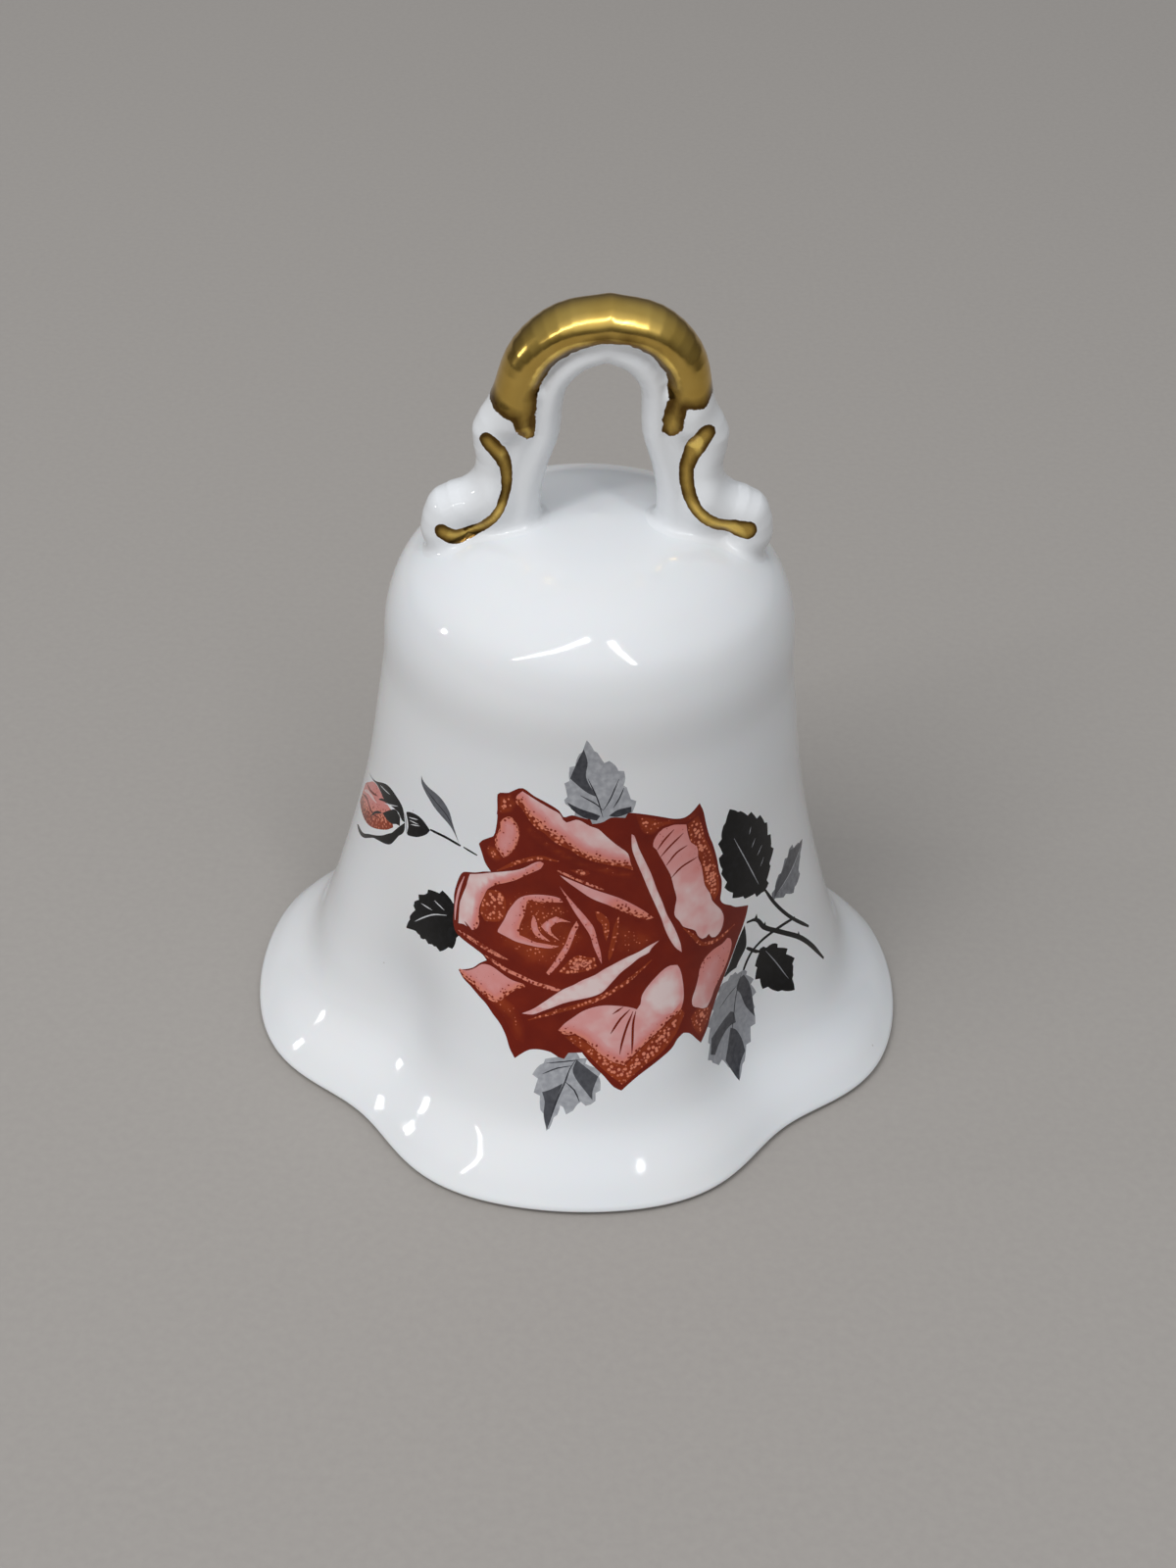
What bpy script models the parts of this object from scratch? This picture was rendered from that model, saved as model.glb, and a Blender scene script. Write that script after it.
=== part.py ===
"""A footed porcelain hand bell: a four-lobed turned body, a moulded scroll handle luted on its crown, and a
bead clapper that hangs inside from a wire staple by one link. Metres, +Z up. The origin is at the centre of
the rim's flat underside, the handle lies in the XZ plane and one lobe faces -Y."""

import math

import bmesh
import bpy
from mathutils import Matrix, Vector

MM = 0.001
GAP = 0.3  # clearance between neighbouring pieces, mm. Every size below is in mm.

# Body: the outside and inside are turned shapes, whose radii are those of a lobe.
STEPS = 80  # turned facets, a multiple of 8 so that lobes and valleys fall on a facet corner
OUTSIDE = [
    (0, 72.2), (10, 71.4), (15.6, 69.8), (19.2, 67.8), (22.3, 64.8), (24.1, 60), (24.6, 53), (25.5, 46),
    (26.6, 38), (28.2, 30), (30.3, 22), (32.7, 14), (35.3, 8), (40.2, 3), (42, 1),
]
LIP = [(41.7, 0.3), (41.0, 0), (39.4, 0)]
INSIDE = [
    (38.7, 0.3), (36.4, 2.7), (31.7, 8), (29.4, 14), (27.1, 22), (25.1, 30), (23.6, 38), (22.5, 46),
    (21.7, 53), (21.1, 60), (19.0, 64.5), (15.4, 67.2), (10.5, 68.7), (6, 69.2),
]
FLUTE_DEPTH = 4.5  # how far a valley between two lobes is pressed in
FLUTE_TOP = 10.0  # the valleys keep their depth up to this height
FLUTE_FADE = 14.0  # and fade out above it over about this height
FLUTE_POWER = 6  # broad lobes, narrow valleys

# Socket in the crown, and the staple's cement in it.
SOCKET_RADIUS = 4.0
COLLAR_RADIUS = 6.0
SOCKET_MOUTH = 65.0
SOCKET_END = 69.5
WIRE = 1.2  # diameter of the wire of staple, link and clapper pin
BEND = 2.2  # radius of every bend of the wire, at its centre
STAPLE_BAR = 60.0  # height of the staple's lowest point, the first pivot
LEG_END = 68.6
LINK_BAR = 52.5  # height of the link's lowest point, the second pivot
HANG = WIRE + GAP  # from the centre of one wire to that of the wire hanging on it

# Clapper.
BALL_RADIUS = 7.0
BALL_CENTRE = 15.0
BORE = 2.0  # through the ball
HEAD_RADIUS = 1.9
HEAD_THICKNESS = 1.2

# The staple lies along one diagonal, so that the clapper swings into a valley, where the wall is nearest.
DIAGONAL = math.radians(45)

# Handle: half of its outline in the XZ plane. It is symmetric about X = 0.
HANDLE_YAW = math.radians(3)  # it was luted on slightly turned
HANDLE_DEPTH = 7.2
HANDLE_ROUND = 1.7  # radius of its long edges
HANDLE_OUTSIDE = [
    (0, 98.8), (6.4, 97.3), (11.0, 93.2), (12.5, 88.3), (14.2, 84.4), (14.0, 80.4), (13.4, 77.8),
    (17.6, 75.5), (20.0, 72.4), (19.6, 67.0),
]
HANDLE_INSIDE = [(7.6, 69.5), (6.6, 74.0), (5.7, 78.6), (4.5, 82.8), (4.5, 88.0), (3.0, 91.0), (0, 92.0)]

PORCELAIN = ("porcelain", (0.86, 0.87, 0.88), 0.08, 0.0)
WIRE_METAL = ("brass_wire", (0.72, 0.53, 0.24), 0.3, 1.0)
CEMENT = ("cement", (0.72, 0.70, 0.66), 0.9, 0.0)


def clear_scene():
    for obj in list(bpy.data.objects):
        bpy.data.objects.remove(obj, do_unlink=True)


def new_collection(name):
    collection = bpy.data.collections.new(name)
    bpy.context.scene.collection.children.link(collection)
    return collection


def new_material(name, colour, roughness, metallic):
    material = bpy.data.materials.new(name)
    material.use_nodes = True
    shader = material.node_tree.nodes["Principled BSDF"]
    shader.inputs["Base Color"].default_value = (*colour, 1)
    shader.inputs["Roughness"].default_value = roughness
    shader.inputs["Metallic"].default_value = metallic
    return material


def spline(points, spans):
    """A Catmull-Rom curve through the points, each interval cut into the given number of spans."""
    ends = [2 * Vector(points[0]) - Vector(points[1]), 2 * Vector(points[-1]) - Vector(points[-2])]
    knots = [ends[0], *map(Vector, points), ends[1]]
    curve = []
    for a, b, c, d in zip(knots, knots[1:], knots[2:], knots[3:]):
        for i in range(spans):
            t = i / spans
            curve.append((2 * b + (c - a) * t + (2 * a - 5 * b + 4 * c - d) * t**2
                          + (3 * b - a - 3 * c + d) * t**3) / 2)
    return curve + [knots[-2]]


def flute_depth(height):
    """Depth of a valley at this height above the rim."""
    above = max(0.0, height - FLUTE_TOP) / FLUTE_FADE
    return FLUTE_DEPTH * math.exp(-above**2)


def add(name, mesh, material, collection):
    obj = bpy.data.objects.new(name, mesh)
    collection.objects.link(obj)
    mesh.materials.clear()
    mesh.materials.append(material)
    mesh.shade_smooth()
    mesh.set_sharp_from_angle(angle=math.radians(40))
    return obj


def turned(name, profile, steps, collection):
    """An object whose Screw modifier turns the profile, a list of (radius, height) in mm, about Z."""
    mesh = bpy.data.meshes.new(name)
    points = [(radius * MM, 0, height * MM) for radius, height in profile]
    mesh.from_pydata(points, [(i, i + 1) for i in range(len(points) - 1)], [])
    obj = bpy.data.objects.new(name, mesh)
    collection.objects.link(obj)
    screw = obj.modifiers.new("turn", "SCREW")
    screw.steps = screw.render_steps = steps
    screw.use_merge_vertices = True
    screw.merge_threshold = 0.0001 * MM
    return obj


def evaluated_mesh(obj):
    """The object's mesh with its modifiers or bevel made real and its loose ends welded. The object goes."""
    graph = bpy.context.evaluated_depsgraph_get()
    mesh = bpy.data.meshes.new_from_object(obj.evaluated_get(graph))
    mesh.transform(obj.matrix_world)
    shape = bmesh.new()
    shape.from_mesh(mesh)
    bmesh.ops.remove_doubles(shape, verts=shape.verts, dist=0.001 * MM)
    bmesh.ops.recalc_face_normals(shape, faces=shape.faces)
    shape.to_mesh(mesh)
    shape.free()
    bpy.data.objects.remove(obj, do_unlink=True)
    return mesh


def cut(obj, cutter):
    cutter.hide_render = True
    cutter.display_type = "WIRE"
    modifier = obj.modifiers.new("cut_" + cutter.name, "BOOLEAN")
    modifier.operation = "DIFFERENCE"
    modifier.object = cutter


def wire_curve(name, path, closed=False):
    """A wire along the path, a list of (along, height) in mm in the XZ plane."""
    curve = bpy.data.curves.new(name, "CURVE")
    curve.dimensions = "3D"
    curve.bevel_depth = WIRE / 2 * MM
    curve.bevel_resolution = 2
    curve.use_fill_caps = not closed
    line = curve.splines.new("POLY")
    line.points.add(len(path) - 1)
    for point, (along, height) in zip(line.points, path):
        point.co = (along * MM, 0, height * MM, 1)
    line.use_cyclic_u = closed
    obj = bpy.data.objects.new(name + "_path", curve)
    bpy.context.scene.collection.objects.link(obj)
    bpy.context.view_layer.update()
    return obj


def arc(centre, start, end, steps):
    """Points of a wire's bend about (0, centre), from one angle to another in degrees."""
    angles = [math.radians(start + (end - start) * i / steps) for i in range(steps + 1)]
    return [(BEND * math.cos(a), centre + BEND * math.sin(a)) for a in angles]


def pivot_placed(mesh, height, turn):
    """Turns the mesh about Z, and moves its origin up to a pivot. Returns where the object then goes."""
    mesh.transform(Matrix.Translation((0, 0, -height * MM)))
    mesh.transform(Matrix.Rotation(turn, 4, "Z"))
    return (0, 0, height * MM)


def make_body(collection, material):
    profile = spline(OUTSIDE, 2) + LIP + spline(INSIDE, 1)
    profile += [(COLLAR_RADIUS, SOCKET_MOUTH), (SOCKET_RADIUS, SOCKET_MOUTH),
                (SOCKET_RADIUS, SOCKET_END), (0, SOCKET_END)]
    mesh = evaluated_mesh(turned("bell_body_turned", profile, STEPS, collection))
    for vertex in mesh.vertices:
        x, y, z = vertex.co
        radius, turn = math.hypot(x, y), math.atan2(y, x)
        if radius > COLLAR_RADIUS * MM * 1.01:
            pressed = flute_depth(z / MM) * MM * math.sin(2 * turn) ** FLUTE_POWER
            vertex.co.x *= 1 - pressed / radius
            vertex.co.y *= 1 - pressed / radius
    return add("bell_body", mesh, material, collection)


def crown_cutter(collection):
    """The crown's outside, raised by the gap, as a solid that trims the handle's feet."""
    crown = [point for point in spline(OUTSIDE, 2) if point[1] > STAPLE_BAR]
    profile = [(0, crown[0][1] + GAP)]
    profile += [(radius + GAP * 0.7, height + GAP) for radius, height in crown[1:]]
    profile += [(crown[-1][0] + GAP, STAPLE_BAR), (0, STAPLE_BAR)]
    mesh = evaluated_mesh(turned("crown_cutter_turned", profile, STEPS, collection))
    obj = bpy.data.objects.new("crown_cutter", mesh)
    collection.objects.link(obj)
    return obj


def make_handle(collection, cutters, material):
    """A flat horseshoe outline with scrolled ears and feet, extruded with round edges."""
    half = HANDLE_OUTSIDE + HANDLE_INSIDE
    other = [(-x, z) for x, z in half[-2:0:-1]]
    curve = bpy.data.curves.new("handle_outline", "CURVE")
    curve.dimensions = "2D"
    curve.fill_mode = "BOTH"
    curve.extrude = (HANDLE_DEPTH / 2 - HANDLE_ROUND) * MM
    curve.bevel_depth = HANDLE_ROUND * MM
    curve.bevel_resolution = 2
    curve.offset = -HANDLE_ROUND * MM
    curve.resolution_u = 4
    line = curve.splines.new("BEZIER")
    line.bezier_points.add(len(half + other) - 1)
    for point, (x, z) in zip(line.bezier_points, half + other):
        point.co = (x * MM, z * MM, 0)
        point.handle_left_type = point.handle_right_type = "AUTO"
    line.use_cyclic_u = True
    outline = bpy.data.objects.new("handle_outline", curve)
    outline.rotation_euler = (math.radians(90), 0, HANDLE_YAW)
    collection.objects.link(outline)
    bpy.context.view_layer.update()
    handle = add("handle", evaluated_mesh(outline), material, collection)
    cut(handle, crown_cutter(cutters))
    return handle


def make_staple(collection, material):
    """A U of wire, legs up. Its bar is the pivot on which the link hangs."""
    centre = STAPLE_BAR + BEND
    path = [(-BEND, LEG_END), *arc(centre, 180, 360, 12), (BEND, LEG_END)]
    mesh = evaluated_mesh(wire_curve("staple", path))
    place = pivot_placed(mesh, STAPLE_BAR, DIAGONAL)
    staple = add("staple", mesh, material, collection)
    staple.location = place
    return staple


def make_plug(collection, cutters, material):
    """The cement in the socket, with a hole for each leg of the staple."""
    depth = (SOCKET_END - GAP - SOCKET_MOUTH) * MM
    bpy.ops.mesh.primitive_cylinder_add(vertices=40, radius=(SOCKET_RADIUS - GAP) * MM, depth=depth)
    cylinder = bpy.context.object
    mesh = cylinder.data
    bpy.data.objects.remove(cylinder, do_unlink=True)
    mesh.transform(Matrix.Translation((0, 0, SOCKET_MOUTH * MM + depth / 2)))
    plug = add("cement_plug", mesh, material, collection)
    for side in (-1, 1):
        x, y = side * BEND * math.cos(DIAGONAL) * MM, side * BEND * math.sin(DIAGONAL) * MM
        bpy.ops.mesh.primitive_cylinder_add(
            vertices=16, radius=(WIRE / 2 + GAP) * MM, depth=3 * depth, location=(x, y, SOCKET_MOUTH * MM)
        )
        hole = bpy.context.object
        hole.name = "leg_hole_cutter"
        hole.users_collection[0].objects.unlink(hole)
        cutters.objects.link(hole)
        cut(plug, hole)
    return plug


def make_link(collection, parent, material):
    """A long closed ring of wire, across the staple."""
    top, bottom = STAPLE_BAR + HANG - BEND, LINK_BAR + BEND
    path = arc(top, 0, 180, 12) + arc(bottom, 180, 360, 12)
    mesh = evaluated_mesh(wire_curve("link", path, closed=True))
    place = pivot_placed(mesh, STAPLE_BAR, DIAGONAL + math.pi / 2)
    link = add("link", mesh, material, collection)
    link.parent = parent
    link.location = place
    return link


def make_pin(collection, parent, material):
    """The clapper's wire: an eye hooked on the link, a straight shank, and an upset head under the ball."""
    eye_centre = LINK_BAR + HANG - BEND
    eye = evaluated_mesh(wire_curve("eye", arc(eye_centre, -90, 270, 20)[:-1], closed=True))
    pin = add("clapper_pin", eye, material, collection)
    shank_top = eye_centre - BEND
    head_top = BALL_CENTRE - BALL_RADIUS - GAP
    profile = [
        (0, shank_top), (WIRE / 2, shank_top), (WIRE / 2, head_top), (HEAD_RADIUS * 0.8, head_top),
        (HEAD_RADIUS, head_top - HEAD_THICKNESS * 0.4), (HEAD_RADIUS * 0.7, head_top - HEAD_THICKNESS),
        (0, head_top - HEAD_THICKNESS),
    ]
    shank_mesh = evaluated_mesh(turned("shank_turned", profile, 16, collection))
    shank = bpy.data.objects.new("shank", shank_mesh)
    collection.objects.link(shank)
    join = pin.modifiers.new("join_shank", "BOOLEAN")
    join.operation = "UNION"
    join.object = shank
    mesh = evaluated_mesh(pin)
    bpy.data.objects.remove(shank, do_unlink=True)
    place = pivot_placed(mesh, LINK_BAR, DIAGONAL)
    pin = add("clapper_pin", mesh, material, collection)
    pin.parent = parent
    pin.location = place
    return pin


def make_ball(collection, parent, material):
    """A porcelain bead with a bore for the pin."""
    bore = BORE / 2
    edge = math.sqrt(BALL_RADIUS**2 - bore**2)
    first = math.degrees(math.atan2(edge, bore))
    angles = [math.radians(first - 2 * first * i / 16) for i in range(17)]
    profile = [(BALL_RADIUS * math.cos(a), BALL_CENTRE + BALL_RADIUS * math.sin(a)) for a in angles]
    mesh = evaluated_mesh(turned("ball_turned", [*profile, profile[0]], 32, collection))
    place = pivot_placed(mesh, LINK_BAR, 0)
    ball = add("clapper_ball", mesh, material, collection)
    ball.parent = parent
    ball.location = place
    return ball


def main():
    clear_scene()
    parts = new_collection("porcelain_bell")
    cutters = new_collection("cutters")
    porcelain, metal, cement = new_material(*PORCELAIN), new_material(*WIRE_METAL), new_material(*CEMENT)
    root = bpy.data.objects.new("bell_origin", None)
    parts.objects.link(root)
    make_body(parts, porcelain).parent = root
    make_handle(parts, cutters, porcelain).parent = root
    make_plug(parts, cutters, cement).parent = root
    make_staple(parts, metal).parent = root
    make_link(parts, root, metal)
    make_pin(parts, root, metal)
    make_ball(parts, root, porcelain)


main()
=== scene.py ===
"""The looks of a porcelain hand bell: a glazed body with a printed rose, a gilded scroll handle, and a bead
clapper on brass wire. Sizes are in mm until they reach a mesh. +Z is up and the bell's front faces -Y."""
import math

import bpy
import numpy as np
from mathutils import Matrix, Vector
from mathutils.geometry import delaunay_2d_cdt


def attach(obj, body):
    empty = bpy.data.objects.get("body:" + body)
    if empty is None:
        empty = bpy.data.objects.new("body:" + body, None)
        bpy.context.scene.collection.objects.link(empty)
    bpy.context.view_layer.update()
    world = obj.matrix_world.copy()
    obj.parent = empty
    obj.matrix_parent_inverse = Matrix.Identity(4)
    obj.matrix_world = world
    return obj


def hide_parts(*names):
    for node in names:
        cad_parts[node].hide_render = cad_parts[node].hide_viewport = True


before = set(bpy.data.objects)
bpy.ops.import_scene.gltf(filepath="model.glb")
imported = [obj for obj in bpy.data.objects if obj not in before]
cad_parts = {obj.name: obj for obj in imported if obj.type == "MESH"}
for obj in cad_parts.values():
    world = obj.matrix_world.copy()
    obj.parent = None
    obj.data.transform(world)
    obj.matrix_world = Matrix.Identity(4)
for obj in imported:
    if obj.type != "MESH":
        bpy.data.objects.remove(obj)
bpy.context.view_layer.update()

MM = 0.001

# Camera: its tilt below level, its roll, and the bell's origin seen from it (ahead, to the right, up).
CAMERA_TILT = math.radians(36.96)
CAMERA_ROLL = math.radians(2.12)
CAMERA_SEES_ORIGIN = (314.3, -1.44, -26.41)
CAMERA_LENS = 54.0

# The body's turned shape, as (radius of a lobe, height).
OUTSIDE = [
    (0, 72.2), (10, 71.4), (15.6, 69.8), (19.2, 67.8), (22.3, 64.8), (24.1, 60), (24.6, 53), (25.5, 46),
    (26.6, 38), (28.2, 30), (30.3, 22), (32.7, 14), (35.3, 8), (40.2, 3), (42, 1),
]
LIP = [(42, 1), (41.9, 0.62), (41.5, 0.4), (40.8, 0.2), (40.1, 0.05), (39.6, 0), (39.1, 0.06), (38.7, 0.3)]
INSIDE = [
    (38.7, 0.3), (36.4, 2.7), (31.7, 8), (29.4, 14), (27.1, 22), (25.1, 30), (23.6, 38), (22.5, 46),
    (21.7, 53), (21.1, 60), (19.0, 64.5), (15.4, 67.2), (10.5, 68.7), (6, 69.2),
]
AXIS_HOLE = 0.01  # radius of the smallest rings, at the crown's centre and the socket's end
SOCKET = [(6, 69.2), (6, 65.3), (5.7, 65), (4.2, 65), (4, 65.3), (4, 69.5), (AXIS_HOLE, 69.5)]
COLLAR_RADIUS = 6.0
FLUTE_DEPTH = 4.5
FLUTE_TOP = 10.0
FLUTE_FADE = 14.0
FLUTE_POWER = 6

# The body's mesh: columns round it, and the part of its outer wall that carries the print.
COLUMNS = 240
PRINT_LEFT, PRINT_RIGHT = -64, 56  # in columns from the front
PRINT_TOP, PRINT_BOTTOM = 59.25, 5.25
ROW = 0.75

# The print is laid out flat: (along, height), where along is the angle from the front times this radius.
PRINT_RADIUS = 26.0
PRINT_SHIFT = -0.35
OUTLINE_STEP = 0.4
TOOTH_PITCH, TOOTH_DEPTH = 2.1, 0.55  # of the leaves
TOOTH_STEPS = 5  # points along one tooth
SMALL_TOOTH = 0.6  # every third tooth has this share of the depth
CORNER = math.radians(52)  # an outline turns a sharp corner where it bends more than this
ROSE, LEAF = 1, 2  # the two inks, as material slots of the body

# The floor has a hole inside the bell's rim, of this radius in mm at a lobe. It lets light into the bell, for
# views from below.
FLOOR_HOLE = 39.0
FLOOR_RADIUS = 1.7  # in metres

# Lamps: place, size, power, degrees about Z for one that faces down, and whether reflections leave it out.
LAMPS = {
    "soft_key": ((-0.75, -0.6, 1.2), (0.9, 0.9), 5.5, None, True),
    "ceiling_left": ((-0.83, -1.03, 1.5), (0.06, 2.0), 8.2, -55.7, False),
    "ceiling_right": ((0.49, -0.9, 1.5), (0.08, 0.98), 4.6, 33, False),
    "window_left": ((-1.4, 0.0, 0.5), (0.08, 0.15), 0.9, None, False),
}
LAMP_AIM = (0, 0, 0.045)
BRIGHT_WAY = (0.05, -0.45, 0.89)  # towards the brightest part of the studio

HANDLE_YAW = math.radians(3)
HANDLE_CENTRE = 0.45
HANDLE_LEAN = 0.045  # of the arch, towards +X, for each mm above its shoulders


# ---------------------------------------------------------------- curves

def smooth(points, step, closed=False):
    """A smooth line through the points, cut every step or so, with the sharp bends kept as corners."""
    knots = np.array(points, float)
    count = len(knots)
    if closed:
        before, after = np.roll(knots, 1, axis=0), np.roll(knots, -1, axis=0)
    else:
        before = np.vstack([2 * knots[0] - knots[1], knots[:-1]])
        after = np.vstack([knots[1:], 2 * knots[-1] - knots[-2]])
    arrive, leave = unit(knots - before), unit(after - knots)
    sharp = (arrive * leave).sum(1) < math.cos(CORNER)
    tangent = unit(after - before)
    line = []
    for i in range(count if closed else count - 1):
        j = (i + 1) % count
        a, b = knots[i], knots[j]
        length = np.linalg.norm(b - a)
        out = leave[i] if sharp[i] else tangent[i]
        into = arrive[j] if sharp[j] else tangent[j]
        spans = max(1, round(length / step))
        for k in range(spans):
            t = k / spans
            line.append(a * (1 + 2 * t) * (1 - t)**2 + b * (3 - 2 * t) * t**2
                        + length * (out * t * (1 - t)**2 - into * (1 - t) * t**2))
    if not closed:
        line.append(knots[-1])
    return np.array(line)


def unit(vectors):
    return vectors / np.maximum(np.linalg.norm(vectors, axis=-1, keepdims=True), 1e-12)


def resample(points, step):
    """The polyline cut into equal steps of about this length, both ends kept."""
    points = np.array(points, float)
    along = np.concatenate([[0], np.cumsum(np.linalg.norm(np.diff(points, axis=0), axis=1))])
    at = np.linspace(0, along[-1], max(2, round(along[-1] / step) + 1))
    return np.stack([np.interp(at, along, column) for column in points.T], axis=1)


def distance_to(points, line):
    """Distance of each 2D point from the polyline, and its nearest point's place, counted in segments."""
    best = np.full(len(points), np.inf)
    place = np.zeros(len(points))
    for i, (a, b) in enumerate(zip(line[:-1], line[1:])):
        run = b - a
        share = np.clip(((points - a) @ run) / max(run @ run, 1e-12), 0, 1)
        away = np.linalg.norm(points - a - share[:, None] * run, axis=1)
        nearer = away < best
        best[nearer], place[nearer] = away[nearer], i + share[nearer]
    return best, place


def within(points, outline):
    """Which of the 2D points lie inside the closed outline."""
    inside = np.zeros(len(points), bool)
    x, y = points.T
    for (ax, ay), (bx, by) in zip(outline, np.roll(outline, -1, axis=0)):
        if ay != by:
            inside ^= ((ay > y) != (by > y)) & (x < (bx - ax) * (y - ay) / (by - ay) + ax)
    return inside


def stroke(points, width, ends=0.25):
    """The outline of a line of this width, which narrows at its ends to a share of it."""
    line = smooth(points, OUTLINE_STEP * 1.5)
    side = unit(np.gradient(line, axis=0))[:, ::-1] * (1, -1)
    share = np.minimum(1, ends + 3 * np.minimum(np.linspace(0, 1, len(line)), np.linspace(1, 0, len(line))))
    half = side * (width / 2 * share)[:, None]
    return np.vstack([line + half, (line - half)[::-1]])


def toothed(outline, tip):
    """The closed outline of a leaf with teeth that point to its tip."""
    line = resample(np.vstack([outline, outline[:1]]), TOOTH_PITCH / TOOTH_STEPS)[:-1]
    if np.sum(line[:, 0] * np.roll(line[:, 1], -1) - np.roll(line[:, 0], -1) * line[:, 1]) < 0:
        line = line[::-1]
    first = np.argmin(np.linalg.norm(line - tip, axis=1))
    line = np.roll(line, -first, axis=0)
    count = len(line)
    steps = np.minimum(np.arange(count), count - np.arange(count))
    share = np.where(steps // TOOTH_STEPS % 3 == 1, SMALL_TOOTH, 1)
    fall = 1 - (steps % TOOTH_STEPS) / (TOOTH_STEPS - 1)
    height = TOOTH_DEPTH * share * fall * np.minimum(1, steps / 8)
    run = unit(np.roll(line, -1, axis=0) - np.roll(line, 1, axis=0))
    return line + run[:, ::-1] * (1, -1) * height[:, None]


# ---------------------------------------------------------------- print

class Print:
    """The printed areas in the order of printing. A tone runs from 0, the darkest ink, to 1, the palest."""

    def __init__(self):
        self.areas = []

    def area(self, ink, tone, outline, fade=None, reach=0.6, edge=0.45):
        """The tone falls to edge along the fade line, and has its whole value at reach from it. The outline
        itself is the fade line where none is given."""
        outline = smooth(outline, OUTLINE_STEP, closed=True)
        fade = np.vstack([outline, outline[:1]]) if fade is None else np.array(fade, float)
        self.areas.append((ink, tone, outline, fade, reach, edge))

    def flat(self, ink, tone, outline, tip=None):
        """An area of one tone. A leaf with its tip given has a toothed edge."""
        self.area(ink, tone, outline, [outline[0], outline[1]], 0.01, tone)
        if tip:
            whole = self.areas[-1]
            self.areas[-1] = (*whole[:2], toothed(whole[2], tip), *whole[3:])

    def lines(self, ink, tone, width, *runs, ends=0.25):
        for run in runs:
            outline = stroke(run, width, ends)
            self.areas.append((ink, tone, outline, outline[:2], 0.01, tone))


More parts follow.
